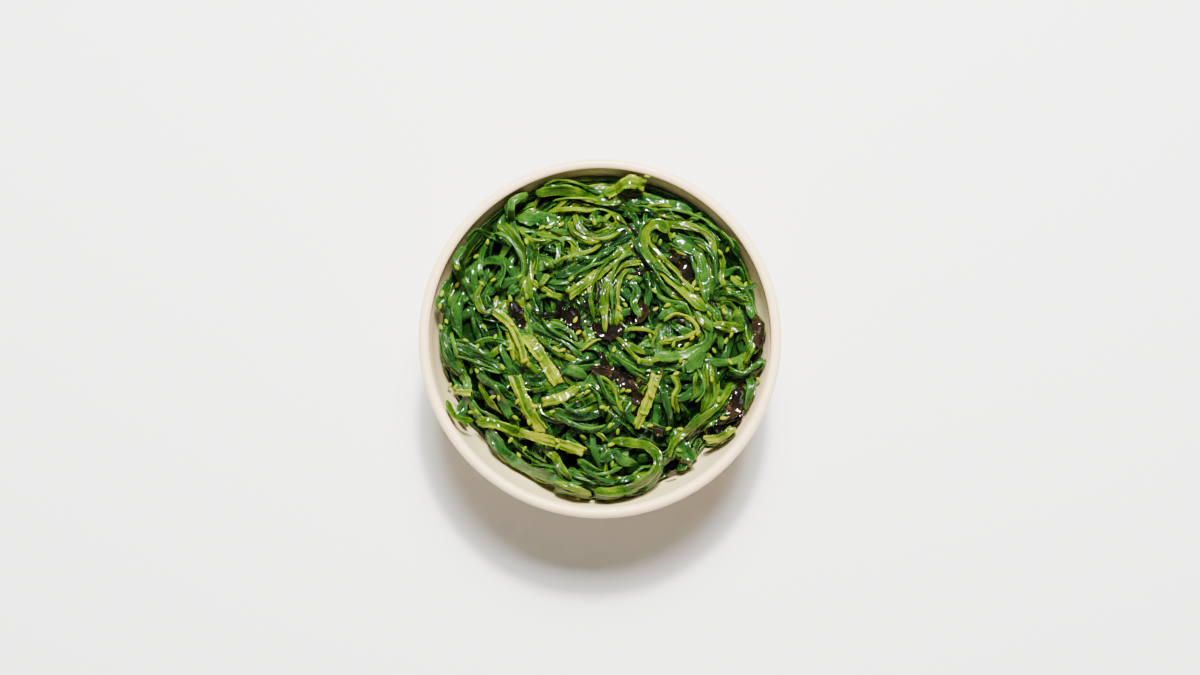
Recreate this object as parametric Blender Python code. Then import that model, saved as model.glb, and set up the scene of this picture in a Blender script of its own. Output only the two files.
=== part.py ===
"""Shredded wakame salad heaped in a round cream bowl.

Everything is worked out in millimetres and made in metres, +Z up. The origin is the centre of the
circle that the bowl's foot stands on. The strands are laid one after another on a relief of the heap,
so that each one rests on those under it and keeps a small gap to them.
"""

import math
from typing import NamedTuple

import bmesh
import bpy
import numpy as np

MM = 0.001

# Bowl
RIM_RADIUS = 65.0
BOWL_HEIGHT = 52.0
RIM_WIDTH = 3.8
FLOOR_TOP = 7.0
FLOOR_UNDERSIDE = 3.5
FOOT_RADIUS = 33.5
FOOT_INNER_RADIUS = 29.0
FOOT_EDGE = 0.8
SQUARENESS = 2.4
BOWL_SIDES = 42
WALL_STATIONS = 6
RIM_STATIONS = 4
RIM_PLANE = BOWL_HEIGHT - RIM_WIDTH / 2
INNER_RADIUS = RIM_RADIUS - RIM_WIDTH
INNER_DEPTH = RIM_PLANE - FLOOR_TOP
OUTER_DEPTH = RIM_PLANE - FLOOR_UNDERSIDE

# Heap
HEAP_TOP = 48.0
HEAP_POWER = 3.2
# Where the heap meets the wall, as angles round the bowl in degrees and distances from its axis
EDGE_ANGLES = (
    1, 46, 90, 134, 158, 178, 193, 208, 218, 228, 238, 249, 256, 265, 275, 285, 296, 306, 317, 322, 332, 347,
)
EDGE_RADII = (
    59.8, 58.6, 59.6, 59.3, 58.4, 57.9, 58.8, 57.8, 54.9, 54.2, 53.5, 53.3, 54.8, 58.0, 58.3, 58.0, 55.4,
    56.0, 54.0, 57.1, 57.8, 58.5,
)
# Hollows in the heap's top, as plan x, plan y, radius and depth
HOLLOWS = (
    (-11, 28, 6, 2.6), (-9, 6, 8, 2.4), (7, 9, 6, 1.8), (28, 26, 5, 1.8), (9, -18, 6, 2.0), (-30, 9, 5, 1.6),
    (14, -33, 4, 1.5),
)
CORE_DEPTH = 3.3
CORE_CLEARANCE = 0.6
CORE_SECTORS = 36
CORE_RINGS = 7

# Strands
STRAND_REACH = 60.2
CELL = 0.5
HALF_GRID = 66.0
PATH_STEP = 0.5
RING_STEP = 2.9
GAP = 0.32
AVERAGING = 2.0
BANK_LIMIT = 0.45
EDGE_SHARE = 0.55
BED_COUNT = 50
BED_SEED = 7
BED_CHOICES = 40
BED_WIDTH = (3.8, 5.6)
BED_LENGTH = (22.0, 38.0)
BED_THICKNESS = 2.8
BED_DEPTH = (0.0, 1.8)
BED_WEAVE = 0.7
BED_WEAVE_LENGTH = 17.0
BED_RING_STEP = 5.8
BED_TOP_SHARE = 0.5

# Sesame seeds
SEED_LENGTH = 3.3
SEED_WIDTH = 2.0
SEED_HEIGHT = 1.3
SEED_SINK = 0.45
SEED_COUNT = 64
SEED_DRAW = 21

# The strands' and seeds' places are given as seen on the rim's plane from this viewpoint
VIEW_Y = -82.6
VIEW_Z = 641.0


class Finish(NamedTuple):
    """A plain surface: linear base colour and roughness."""

    colour: tuple
    roughness: float


FINISHES = {
    "bowl": Finish((0.83, 0.74, 0.60), 0.45),
    "bed": Finish((0.012, 0.06, 0.010), 0.30),
    "deep": Finish((0.018, 0.105, 0.016), 0.25),
    "green": Finish((0.040, 0.190, 0.020), 0.25),
    "bright": Finish((0.110, 0.300, 0.020), 0.25),
    "pale": Finish((0.330, 0.430, 0.080), 0.28),
    "ear": Finish((0.022, 0.014, 0.008), 0.22),
}


class Strand(NamedTuple):
    """A cut piece of the salad, by its middle line seen from above. Lengths are in mm."""

    name: str
    finish: str
    width: float
    thickness: float
    points: tuple


# Listed from the lowest to the topmost, as they lie over each other.
STRANDS = (
    Strand("ear_right_wall", "ear", 4.6, 1.0, ((55.0, 7), (56.6, 1), (56.4, -5))),
    Strand("ear_lower_right", "ear", 5.4, 1.0, ((50.5, -17), (48.5, -23), (46, -28), (41, -32))),
    Strand("slice_wall_right", "pale", 3.0, 1.0, ((36.5, -38), (42, -37.4), (46.5, -34))),
    Strand("ear_centre_left", "ear", 6.4, 1.0, ((-13, 10), (-9, 6), (-7, -1))),
    Strand("ear_centre", "ear", 5.6, 1.0, ((-3, 5), (3, 1.5), (9, 3))),
    Strand("ear_lower_centre", "ear", 6.0, 1.0, ((7, -14), (11, -19), (15, -24))),
    Strand("ear_upper_right", "ear", 6.4, 1.0, ((25, 28.5), (30, 26), (32, 20))),
    Strand("ear_left", "ear", 4.6, 1.0, ((-32, 13), (-29.5, 8), (-27, 3))),
    Strand("frond_rim_lower_left", "deep", 4.2, 1.2,
           ((-39, -33), (-36, -39), (-30, -45), (-23, -49), (-14, -51.5), (-5, -52))),
    Strand("frond_dark_upper", "deep", 3.2, 1.2, ((-11, 31), (-4, 31), (4, 33.5), (12, 37.5))),
    Strand("frond_dark_lower", "deep", 3.4, 1.2, ((-16, 21.5), (-9, 24), (-1, 27.5), (6, 32))),
    Strand("frond_top_right", "deep", 3.4, 1.2, ((9, 48), (17, 49), (25, 47), (33, 43.5))),
    Strand("frond_centre_dark", "deep", 3.4, 1.2, ((-17, -26.5), (-10, -28.5), (-3, -28.5), (3, -26))),
    Strand("frond_left_low", "deep", 3.0, 1.2, ((-54, -4), (-47, -6.5), (-40, -10), (-33, -13))),
    Strand("frond_left_edge", "deep", 3.2, 1.1, ((-55, 4), (-55, -3), (-53, -9), (-49, -14))),
    Strand("frond_left_outer", "green", 3.0, 1.2, ((-49, 31), (-50.5, 25), (-48, 19), (-45, 12))),
    Strand("frond_right_edge", "green", 3.0, 1.1, ((52, -13), (53, -20), (50.5, -27))),
    Strand("frond_right_arc", "green", 3.0, 1.1, ((41, 13.5), (47, 14), (52, 11), (54, 5))),
    Strand("leaf_upper_left", "green", 6.4, 0.9, ((-31, 43.5), (-24, 42.5), (-15, 42))),
    Strand("leaf_lower_right", "green", 6.0, 0.9, ((24, -36), (29, -41), (33, -45))),
    Strand("frond_left_curl", "bright", 2.8, 1.2,
           ((-41, 20), (-44, 14.5), (-42, 9), (-38, 9.5), (-37, 15))),
    Strand("frond_upper_left", "green", 3.4, 1.1, ((-26.5, 51), (-31, 47), (-31.5, 41), (-29, 35))),
    Strand("frond_top_band", "bright", 4.0, 1.1, ((-23, 50), (-14, 51.5), (-5, 50.5), (2, 49), (9, 50))),
    Strand("frond_upper_cup", "bright", 2.9, 1.2,
           ((-9, 44.5), (-7.5, 40), (-3, 36.8), (3, 37.8), (6, 41.5))),
    Strand("frond_hook", "bright", 3.1, 1.2,
           ((-23, 37.5), (-17, 36.5), (-12.5, 36), (-9.5, 33), (-9.5, 28.5))),
    Strand("frond_left_sweep", "bright", 3.8, 1.2,
           ((-37, 40), (-32, 37), (-28, 31), (-26, 24.5), (-26, 18), (-25, 13.5))),
    Strand("frond_right_inner", "green", 3.4, 1.2,
           ((26, 36.5), (30, 33), (35, 30), (37.5, 25), (38, 18), (38, 12))),
    Strand("frond_right_top", "bright", 3.6, 1.2, ((20, 40.5), (27, 39.8), (34, 38), (39.5, 34), (41, 27))),
    Strand("frond_ring_lower", "green", 3.4, 1.2, ((3, -3.5), (8, -8), (14, -11), (22, -12))),
    Strand("frond_ring_post", "green", 2.9, 1.2, ((24, 5), (21.5, 0), (21, -5), (19.5, -10))),
    Strand("frond_ring", "green", 3.8, 1.2,
           ((21, 6), (26, 9), (33, 8), (38, 3.8), (38.8, -2), (34, -5.7), (27, -7.5), (19, -8))),
    Strand("leaf_right", "green", 6.4, 0.9, ((37, -5), (34, -9), (31, -13))),
    Strand("frond_right_flat", "bright", 4.2, 1.1, ((40.5, 4), (46, 3), (52, 2.5))),
    Strand("frond_right_drop", "bright", 3.4, 1.2, ((37.5, -10), (38.3, -16), (38.5, -22), (36, -28))),
    Strand("frond_right_diagonal", "bright", 3.0, 1.2,
           ((47, -17), (43, -24), (37, -29.5), (31, -34), (26, -38.5), (24, -44))),
    Strand("frond_rim_right", "green", 1.8, 1.0, ((45, -13.5), (50, -14.5), (54.5, -12), (57.8, -9))),
    Strand("frond_centre_rise", "bright", 3.2, 1.2,
           ((2, 1), (1.5, 9), (2, 16), (4.5, 22), (9, 26), (15, 27))),
    Strand("frond_bottom_gloss", "green", 3.2, 1.2, ((-11, -48.5), (-4, -51.3), (4, -52.6), (12, -50.5))),
    Strand("frond_bottom_drop", "bright", 3.2, 1.2, ((-20, -40), (-16, -43.5), (-13.5, -48), (-10, -52))),
    Strand("frond_bottom_stub", "bright", 3.2, 1.1, ((-15, -53), (-9, -55), (-3, -57))),
    Strand("frond_bottom_loop", "bright", 3.4, 1.3,
           ((4, -37.5), (11, -38.3), (17, -39.5), (20.3, -44), (18.5, -49.5), (13, -53.5), (5, -56),
            (-2, -56))),
    Strand("frond_centre_left", "green", 3.6, 1.2,
           ((-24, 4.5), (-20, 1.5), (-15, -0.5), (-10.5, -3.5), (-7, -7.5))),
    Strand("frond_centre_gloss", "green", 3.6, 1.2, ((-3, -17), (1, -20), (4.5, -24), (8.5, -28.5))),
    Strand("frond_right_slope", "bright", 3.0, 1.2,
           ((22, 18), (26.5, 15), (31, 13), (34, 9), (36, 5), (39.5, 1.5))),
    Strand("slice_serrated", "pale", 4.4, 0.9, ((-27, 0), (-22, -6), (-18, -12), (-15, -17))),
    Strand("slice_lower_centre", "pale", 3.6, 0.9, ((-20, -24), (-14, -22.5), (-8, -19))),
    Strand("slice_right_yellow", "pale", 3.6, 0.9, ((20, -14.5), (18, -21), (15.5, -27), (13, -33))),
    Strand("slice_left_long", "pale", 3.1, 0.9, ((-38, 9), (-33, 5), (-30, 0), (-28, -5), (-26.5, -11))),
    Strand("slice_left_wide", "pale", 4.6, 0.9, ((-30.5, -14.5), (-28, -21), (-24.5, -28), (-20.5, -34.5))),
    Strand("slice_lower_long", "pale", 3.7, 0.9,
           ((-43, -31), (-35, -32.7), (-27, -35.5), (-20, -37.3), (-13, -39.3), (-6, -41.5))),
    Strand("frond_right_sweep", "bright", 3.8, 1.2,
           ((25, 37), (21, 40), (17, 38.5), (15.8, 33), (18.5, 28), (23, 22.5), (28, 17), (33, 12.5),
            (38, 8.5))),
    Strand("slice_centre", "pale", 3.8, 0.9, ((-11, 15), (-4, 20), (3, 25.5), (10.5, 32))),
    Strand("slice_top", "pale", 4.8, 0.9, ((2, 51.5), (9, 53.5), (16.5, 56))),
)

# Sesame seeds, seen from above, in mm
SEED_PLACES = (
    (-40.2, 33.2), (-44.4, 28.2), (-51, 17.8), (-42.5, 18.8), (-38.5, 20), (-32.2, 13.3), (-26.3, 14),
    (-26.3, 33.3), (-21, 39), (-18.5, 39), (-14, 40.6), (-55.3, 12.8), (-56, 8.3), (-54.5, 4.3), (-56.3, 2),
    (-41.5, 3), (-31.5, 4), (-37.3, -0.8), (-2, 40.2), (-10.5, 20), (-4, 15.8), (-18, 14), (-8.8, 5.5),
    (-7.7, 0.7), (-5.5, 0.2), (-28.8, 21), (-50.3, 22), (16.8, 55.5), (21.8, 34.3), (26.5, 36), (43, 29.5),
    (45.5, 30), (33.5, 18), (34.5, 16), (49.5, 20.5), (52, 18), (19.5, 16), (9, 11), (20, 9.8), (24, 10.5),
    (7, 9), (7.5, 6), (39, 7.5), (44.5, 8.7), (11, 20.5), (-43.5, -4.5), (-32.3, -5), (-34.8, -11.5),
    (-46, -12.5), (-43.8, -13), (-47.5, -2.5), (-53.5, -18.2), (-51.5, -18.5), (-38, -22.5), (-35.8, -23),
    (-45.5, -28), (-43.5, -27.8), (-30, -29.5), (-25.2, -31.3), (-23.3, -25.5), (-21, -8.5), (-27, -9.5),
    (-15.8, -5), (-13.5, -5.5), (-14.8, -15), (-4.7, -18.5), (-4.8, -20.5), (-17, -27.5), (-31.5, -38),
    (-28.5, -43), (-15, -38), (-14.8, -40), (-6, -36.3), (-26.5, -41), (-29.5, -24), (18, -0.5),
    (25.3, -1.8), (26.2, -3.5), (32.7, -1.5), (31, -3.3), (5, -5), (13.8, -9.5), (28.8, -9.2), (27, -14),
    (41, -5), (45.3, -1.5), (46.3, -9.8), (39.5, -16.3), (20, -15), (20, -18), (18, -21.5), (8, -19.8),
    (10, -20), (1, -26), (2.5, -26.5), (15.3, -28), (17.6, -32.5), (24.3, -33.5), (28.2, -33.8),
    (3.5, -32.5), (6.3, -34.5), (43.5, -30.2), (42, -23.3), (55.8, -16.5), (27.8, -41.5), (4, -39),
    (4.3, -46.3), (47, 0.2),
)


def clear_scene():
    """Removes every object that the file opened with."""
    for obj in list(bpy.data.objects):
        bpy.data.objects.remove(obj)


def material(name):
    """A plain Principled material of the named finish, made once."""
    found = bpy.data.materials.get(name)
    if found:
        return found
    made = bpy.data.materials.new(name)
    made.use_nodes = True
    shader = made.node_tree.nodes["Principled BSDF"]
    shader.inputs["Base Color"].default_value = (*FINISHES[name].colour, 1.0)
    shader.inputs["Roughness"].default_value = FINISHES[name].roughness
    return made


def object_of(name, finish, points, faces, collection=None):
    """An object from points in mm and faces, in its finish."""
    mesh = bpy.data.meshes.new(name)
    mesh.from_pydata((np.asarray(points) * MM).tolist(), [], faces)
    mesh.materials.append(material(finish))
    obj = bpy.data.objects.new(name, mesh)
    (collection or bpy.context.scene.collection).objects.link(obj)
    return obj


def wall_height(radius, outer_radius, depth):
    """Height of a bowl surface at a distance from its axis: a superellipse that is upright at the rim."""
    share = np.clip(np.asarray(radius, float) / outer_radius, 0.0, 1.0)
    return RIM_PLANE - depth * np.sqrt(1.0 - share**SQUARENESS)


def wall_radius(height, outer_radius, depth):
    """Distance from the axis of a bowl surface at a height, the inverse of wall_height."""
    share = (RIM_PLANE - height) / depth
    return outer_radius * (1.0 - share * share) ** (1.0 / SQUARENESS)


def bowl_profile():
    """Half section of the bowl, from the axis under the floor, round the rim, to the axis above it."""
    foot_top = float(wall_height(FOOT_RADIUS, RIM_RADIUS, OUTER_DEPTH))
    profile = [
        (0.0, FLOOR_UNDERSIDE),
        (FOOT_INNER_RADIUS - 1.0, FLOOR_UNDERSIDE),
        (FOOT_INNER_RADIUS + FOOT_EDGE, 0.0),
        (FOOT_RADIUS - FOOT_EDGE, 0.0),
        (FOOT_RADIUS, FOOT_EDGE),
        (FOOT_RADIUS, foot_top),
    ]
    for i in range(1, WALL_STATIONS + 1):
        turn = i / WALL_STATIONS
        height = foot_top + (RIM_PLANE - foot_top) * turn
        profile.append((wall_radius(height, RIM_RADIUS, OUTER_DEPTH), height))
    for i in range(1, RIM_STATIONS):
        angle = math.pi * i / RIM_STATIONS
        middle = RIM_RADIUS - RIM_WIDTH / 2
        across = RIM_WIDTH / 2
        profile.append((middle + across * math.cos(angle), RIM_PLANE + across * math.sin(angle)))
    for i in range(WALL_STATIONS + 2):
        turn = math.sin(0.5 * math.pi * i / (WALL_STATIONS + 2))
        height = RIM_PLANE - INNER_DEPTH * turn
        profile.append((wall_radius(height, INNER_RADIUS, INNER_DEPTH), height))
    profile.append((0.0, FLOOR_TOP))
    return profile


def make_bowl():
    """Turns the bowl's half section round the Z axis."""
    shape = bmesh.new()
    line = [shape.verts.new((r * MM, 0.0, z * MM)) for r, z in bowl_profile()]
    edges = [shape.edges.new(pair) for pair in zip(line, line[1:])]
    bmesh.ops.spin(
        shape, geom=line + edges, axis=(0, 0, 1), cent=(0, 0, 0), angle=2 * math.pi, steps=BOWL_SIDES
    )
    bmesh.ops.remove_doubles(shape, verts=shape.verts, dist=0.01 * MM)
    bmesh.ops.recalc_face_normals(shape, faces=shape.faces)
    mesh = bpy.data.meshes.new("bowl")
    shape.to_mesh(mesh)
    shape.free()
    mesh.materials.append(material("bowl"))
    mesh.shade_smooth()
    bowl = bpy.data.objects.new("bowl", mesh)
    bpy.context.scene.collection.objects.link(bowl)


def heap_edge(x, y):
    """Distance from the axis at which the heap meets the wall, in the direction of each plan place."""
    angle = np.degrees(np.arctan2(y, x)) % 360.0
    return np.interp(angle, EDGE_ANGLES, EDGE_RADII, period=360.0)


def heap_height(x, y):
    """Top of the tangled bed: a dome that sinks to the wall at the heap's edge, with lumps and hollows."""
    edge = heap_edge(x, y)
    drop = HEAP_TOP - wall_height(edge, INNER_RADIUS, INNER_DEPTH)
    height = HEAP_TOP - drop * np.minimum(np.hypot(x, y) / edge, 1.1) ** HEAP_POWER
    height = height + 0.8 * np.sin(x / 9.0 + 1.0) * np.cos(y / 8.0)
    for centre_x, centre_y, radius, depth in HOLLOWS:
        height = height - depth * np.exp(-((x - centre_x) ** 2 + (y - centre_y) ** 2) / radius**2)
    return height


def plan_of_seen(points):
    """Plan places of points that are seen on the rim's plane but lie on the heap."""
    seen = np.asarray(points, float)
    plan = seen
    for _ in range(3):
        height = heap_height(plan[:, 0], plan[:, 1])[:, None]
        nearer = (VIEW_Z - height) / (VIEW_Z - RIM_PLANE)
        plan = np.array([0.0, VIEW_Y]) + (seen - np.array([0.0, VIEW_Y])) * nearer
    return plan


def bowl_floor(x, y):
    """Lowest height at which something can lie in the bowl, with its gap to the wall."""
    radius = np.hypot(x, y) + GAP
    inside = wall_height(np.minimum(radius, INNER_RADIUS), INNER_RADIUS, INNER_DEPTH) + GAP
    return np.where(radius < INNER_RADIUS, inside, RIM_PLANE)


class Relief:
    """The height of what lies topmost, and its owner's number, on a square grid seen from above."""

    def __init__(self):
        """Starts as the core of the heap, inside the bowl."""
        side = np.arange(-HALF_GRID, HALF_GRID, CELL)
        x, y = np.meshgrid(side, side, indexing="ij")
        self.height = np.maximum(heap_height(x, y) - CORE_DEPTH, bowl_floor(x, y))
        self.owner = np.full(self.height.shape, -1)

    def cell(self, x, y):
        """The grid cell of each point."""
        last = self.height.shape[0] - 1
        i = np.clip(np.rint((x + HALF_GRID) / CELL).astype(int), 0, last)
        j = np.clip(np.rint((y + HALF_GRID) / CELL).astype(int), 0, last)
        return i, j

    def at(self, x, y):
        """Height under each point, with its neighbours' so that nothing between cells is missed."""
        i, j = self.cell(x, y)
        last = self.height.shape[0] - 1
        around = [self.height[np.clip(i + a, 0, last), np.clip(j + b, 0, last)]
                  for a in (-1, 0, 1) for b in (-1, 0, 1)]
        return np.max(around, axis=0)

    def raise_to(self, x, y, z, owner):
        """Lifts the relief to z at each point where that is higher."""
        i, j = self.cell(x.ravel(), y.ravel())
        for a, b, c in zip(i, j, z.ravel()):
            if c > self.height[a, b]:
                self.height[a, b] = c
                self.owner[a, b] = owner


def curve_through(points):
    """Points every PATH_STEP along a Catmull-Rom curve through the given plan points."""
    p = np.asarray(points, float)
    p = np.vstack([2 * p[0] - p[1], p, 2 * p[-1] - p[-2]])
    t = np.linspace(0, 1, 24, endpoint=False)[:, None]
    parts = []
    for a, b, c, d in zip(p, p[1:], p[2:], p[3:]):
        parts.append(0.5 * (2 * b + (c - a) * t + (2 * a - 5 * b + 4 * c - d) * t**2
                            + (3 * b - a - 3 * c + d) * t**3))
    fine = np.vstack([*parts, p[-2][None]])
    along = np.concatenate([[0], np.cumsum(np.linalg.norm(np.diff(fine, axis=0), axis=1))])
    count = max(5, int(round(along[-1] / PATH_STEP)) + 1)
    wanted = np.linspace(0, along[-1], count)
    return np.column_stack([np.interp(wanted, along, fine[:, k]) for k in (0, 1)])


def kept_inside(path, reach):
    """The plan path with each point beyond the reach drawn in to it. The reach is one or one a point."""
    radius = np.hypot(path[:, 0], path[:, 1])
    return path * np.minimum(1.0, reach / np.maximum(radius, 1e-6))[:, None]


def left_of(path):
    """Unit vectors to the left of a plan path at each of its points."""
    ahead = np.gradient(path, axis=0)
    ahead /= np.linalg.norm(ahead, axis=1)[:, None]
    return np.column_stack([-ahead[:, 1], ahead[:, 0]])


def averaged(values, length):
    """Moving average along a path over a length in mm."""
    reach = max(1, int(round(length / PATH_STEP / 2)))
    padded = np.pad(values, reach, mode="edge")
    return np.convolve(padded, np.ones(2 * reach + 1) / (2 * reach + 1), mode="valid")


def highest(values, length):
    """Moving maximum along a path over a length in mm."""
    reach = max(1, int(round(length / PATH_STEP / 2)))
    padded = np.pad(values, reach, mode="edge")
    return np.max([padded[k:k + len(values)] for k in range(2 * reach + 1)], axis=0)


class Blade:
    """A strand as it lies: a thin blade along a path, with its rows of points across it."""

    def __init__(self, points, width, thickness, square_ends):
        """Works out the blade's middle line and its width along it."""
        self.path = kept_inside(curve_through(points), STRAND_REACH - 0.55 * width)
        self.left = left_of(self.path)
        self.thickness = thickness
        station = np.linspace(0, 1, len(self.path))
        length = len(self.path) * PATH_STEP
        wave = 1.0 + 0.10 * np.sin(2 * math.pi * station * length / 11.0 + points[0][0])
        ends = np.ones_like(station)
        if not square_ends:
            from_end = np.minimum(station, 1 - station) * length
            ends = 0.35 + 0.65 * np.sqrt(np.clip(from_end / (0.9 * width), 0, 1))
        self.half_width = 0.5 * width * wave * ends

    def across(self, lateral, spread):
        """Plan places at shares of the half width and a spread, and their distances from the middle line."""
        offset = (self.half_width + spread)[:, None] * lateral
        x = self.path[:, :1] + self.left[:, :1] * offset
        y = self.path[:, 1:] + self.left[:, 1:] * offset
        return x, y, offset

    def add_to(self, relief, owner):
        """Adds the blade's upper face to the relief."""
        lateral = np.arange(-1.0, 1.01, CELL / (2 * self.half_width.max()))
        x, y, z = self.surface(lateral, 1.0)
        relief.raise_to(x, y, z, owner)

    def hang_in_heap(self, depth, weave_start):
        """Puts the blade just under the heap's top, rising and dipping along its length."""
        x, y = self.path.T
        aside = self.path + 0.5 * self.left
        self.bank = (heap_height(*aside.T) - heap_height(x, y)) / 0.5
        along = np.arange(len(x)) * PATH_STEP
        weave = BED_WEAVE * np.sin(2 * math.pi * along / BED_WEAVE_LENGTH + weave_start)
        x_across, y_across, offset = self.across(np.array([-1.0, 0.0, 1.0]), GAP)
        wall = (bowl_floor(x_across, y_across) - self.bank[:, None] * offset).max(axis=1)
        free = heap_height(x, y) - depth + weave - self.thickness
        self.underside = averaged(np.maximum(free, highest(wall, 2 * BED_RING_STEP)), AVERAGING)

    def rest_on(self, relief):
        """Finds the bank and the underside's height that clear all that lies under the blade."""
        x, y, offset = self.across(np.linspace(-1, 1, 9), GAP)
        under = relief.at(x, y)
        slope = (under * offset).sum(axis=1) / (offset * offset).sum(axis=1)
        self.bank = averaged(np.clip(slope, -BANK_LIMIT, BANK_LIMIT), 2 * AVERAGING)
        needed = (under - self.bank[:, None] * offset).max(axis=1)
        self.underside = averaged(highest(needed, AVERAGING + 2 * RING_STEP), AVERAGING) + GAP

    def surface(self, lateral, top):
        """Points at shares of the half width, on the underside for a top of 0 or the upper face for 1."""
        x, y, offset = self.across(lateral, 0.0)
        crown = EDGE_SHARE + (1 - EDGE_SHARE) * (1 - lateral**2)
        z = self.underside[:, None] + self.bank[:, None] * offset + top * self.thickness * crown
        return x, y, z

    def solid(self, across, ring_step, top_share):
        """Points and triangles of the closed blade. The upper face and the underside are split alike."""
        length = len(self.path) * PATH_STEP
        rings = max(4, int(round(length / ring_step)) + 1)
        chosen = np.linspace(0, len(self.path) - 1, rings).round().astype(int)
        lateral = np.linspace(-1, 1, across + 1)
        rows = [np.stack(self.surface(lateral * share, top), axis=-1)[chosen]
                for share, top in ((1.0, 0.0), (top_share, 1.0))]
        points = np.stack(rows, axis=1).reshape(-1, 3)
        row = across + 1
        ring = 2 * row
        faces = []
        for i in range(rings - 1):
            for k in range(across):
                a = i * ring + k
                b, c, d = a + 1, a + ring, a + ring + 1
                faces += [(a, d, c), (a, b, d)]
                faces += [(a + row, c + row, d + row), (a + row, d + row, b + row)]
            a = i * ring
            faces += [(a, a + ring, a + ring + row), (a, a + ring + row, a + row)]
            a += across
            faces += [(a, a + ring + row, a + ring), (a, a + row, a + ring + row)]
        for k in range(across):
            faces += [(k + 1, k, k + row), (k + 1, k + row, k + 1 + row)]
            a = (rings - 1) * ring + k
            faces += [(a, a + 1, a + 1 + row), (a, a + 1 + row, a + row)]
        return points, faces


def barest_path(relief, draw, width):
    """The one of several random plan paths with the most of its length over the bare core."""
    paths = [wandering_path(relief, draw, width) for _ in range(BED_CHOICES)]
    bare = []
    for path in paths:
        i, j = relief.cell(*curve_through(path).T)
        bare.append((relief.owner[i, j] < 0).sum())
    return paths[int(np.argmax(bare))]


def bare_place(relief, draw):
    """A random plan place with its angle round the bowl, over the bare core unless none is found."""
    for _ in range(12):
        angle, radius = draw.uniform(0, 2 * math.pi), 57.0 * math.sqrt(draw.uniform(0.01, 1.0))
        place = radius * np.array([math.cos(angle), math.sin(angle)])
        if relief.owner[relief.cell(*place)] < 0:
            break
    return place, angle


def along_wall(place, ahead):
    """The unit vector along the wall at a place, on the side that the vector ahead points to."""
    along = np.array([-place[1], place[0]]) / np.hypot(*place)
    return along if along @ ahead > 0 else -along


def wandering_path(relief, draw, width):
    """A random plan path that mostly runs round the bowl and turns gently, both ways from a bare place."""
    inset = 0.6 * width - 0.6
    start, angle = bare_place(relief, draw)
    bend = draw.normal(0, 0.10)
    heading = angle + math.pi / 2 + draw.normal(0, 0.6)
    count = int(draw.uniform(*BED_LENGTH) / 4)
    forward = int(count * draw.uniform(0.3, 0.7))
    halves = []
    for steps, way in ((count - forward, -1.0), (forward, 1.0)):
        place, half = start, []
        ahead = way * np.array([math.cos(heading), math.sin(heading)])
        for _ in range(steps):
            turn = way * bend + draw.normal(0, 0.10)
            ahead = np.array([ahead[0] - turn * ahead[1], ahead[1] + turn * ahead[0]])
            ahead /= np.hypot(*ahead)
            if np.hypot(*(place + 4.0 * ahead)) > heap_edge(*(place + 4.0 * ahead)) - inset:
                ahead = along_wall(place, ahead)
            place = place + 4.0 * ahead
            half.append(place)
        halves.append(half)
    path = np.array([*halves[0][::-1], start, *halves[1]])
    return kept_inside(path, heap_edge(*path.T) - inset)


def core_solid():
    """Points and faces of the heap's core: its top follows the heap, its sides and bottom the bowl."""
    points = []
    edge = []
    for s in range(CORE_SECTORS):
        angle = 2 * math.pi * s / CORE_SECTORS
        radius = np.arange(20.0, INNER_RADIUS - 1.0, 0.25)
        top = heap_height(radius * math.cos(angle), radius * math.sin(angle)) - CORE_DEPTH
        wall = wall_height(radius + CORE_CLEARANCE, INNER_RADIUS, INNER_DEPTH) + CORE_CLEARANCE
        edge.append(radius[np.argmax(wall > top)])
    for share in np.linspace(1.0, 1.0 / CORE_RINGS, CORE_RINGS):
        for s in range(CORE_SECTORS):
            angle = 2 * math.pi * s / CORE_SECTORS
            x, y = edge[s] * share * math.cos(angle), edge[s] * share * math.sin(angle)
            points.append((x, y, float(heap_height(x, y)) - CORE_DEPTH))
    points.append((0.0, 0.0, float(heap_height(0.0, 0.0)) - CORE_DEPTH))
    for share in np.linspace(1.0, 1.0 / CORE_RINGS, CORE_RINGS)[1:]:
        for s in range(CORE_SECTORS):
            angle = 2 * math.pi * s / CORE_SECTORS
            radius = edge[s] * share
            wall = float(wall_height(radius + CORE_CLEARANCE, INNER_RADIUS, INNER_DEPTH))
            points.append((radius * math.cos(angle), radius * math.sin(angle), wall + CORE_CLEARANCE))
    points.append((0.0, 0.0, FLOOR_TOP + CORE_CLEARANCE))
    top_centre = CORE_RINGS * CORE_SECTORS
    faces = []

    def join(outer, inner, upward):
        """Faces between two rings, given by where each starts."""
        for s in range(CORE_SECTORS):
            n = (s + 1) % CORE_SECTORS
            quad = (outer + s, outer + n, inner + n, inner + s)
            faces.extend([quad[:3], (quad[0], quad[2], quad[3])] if upward
                         else [quad[2::-1], (quad[3], quad[2], quad[0])])

    for k in range(CORE_RINGS - 1):
        join(k * CORE_SECTORS, (k + 1) * CORE_SECTORS, True)
        lower = top_centre + 1 + k * CORE_SECTORS
        join(0 if k == 0 else lower - CORE_SECTORS, lower, False)
    last_top = (CORE_RINGS - 1) * CORE_SECTORS
    last_low = top_centre + 1 + (CORE_RINGS - 2) * CORE_SECTORS
    for s in range(CORE_SECTORS):
        n = (s + 1) % CORE_SECTORS
        faces.append((last_top + s, last_top + n, top_centre))
        faces.append((last_low + n, last_low + s, len(points) - 1))
    return points, faces


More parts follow.
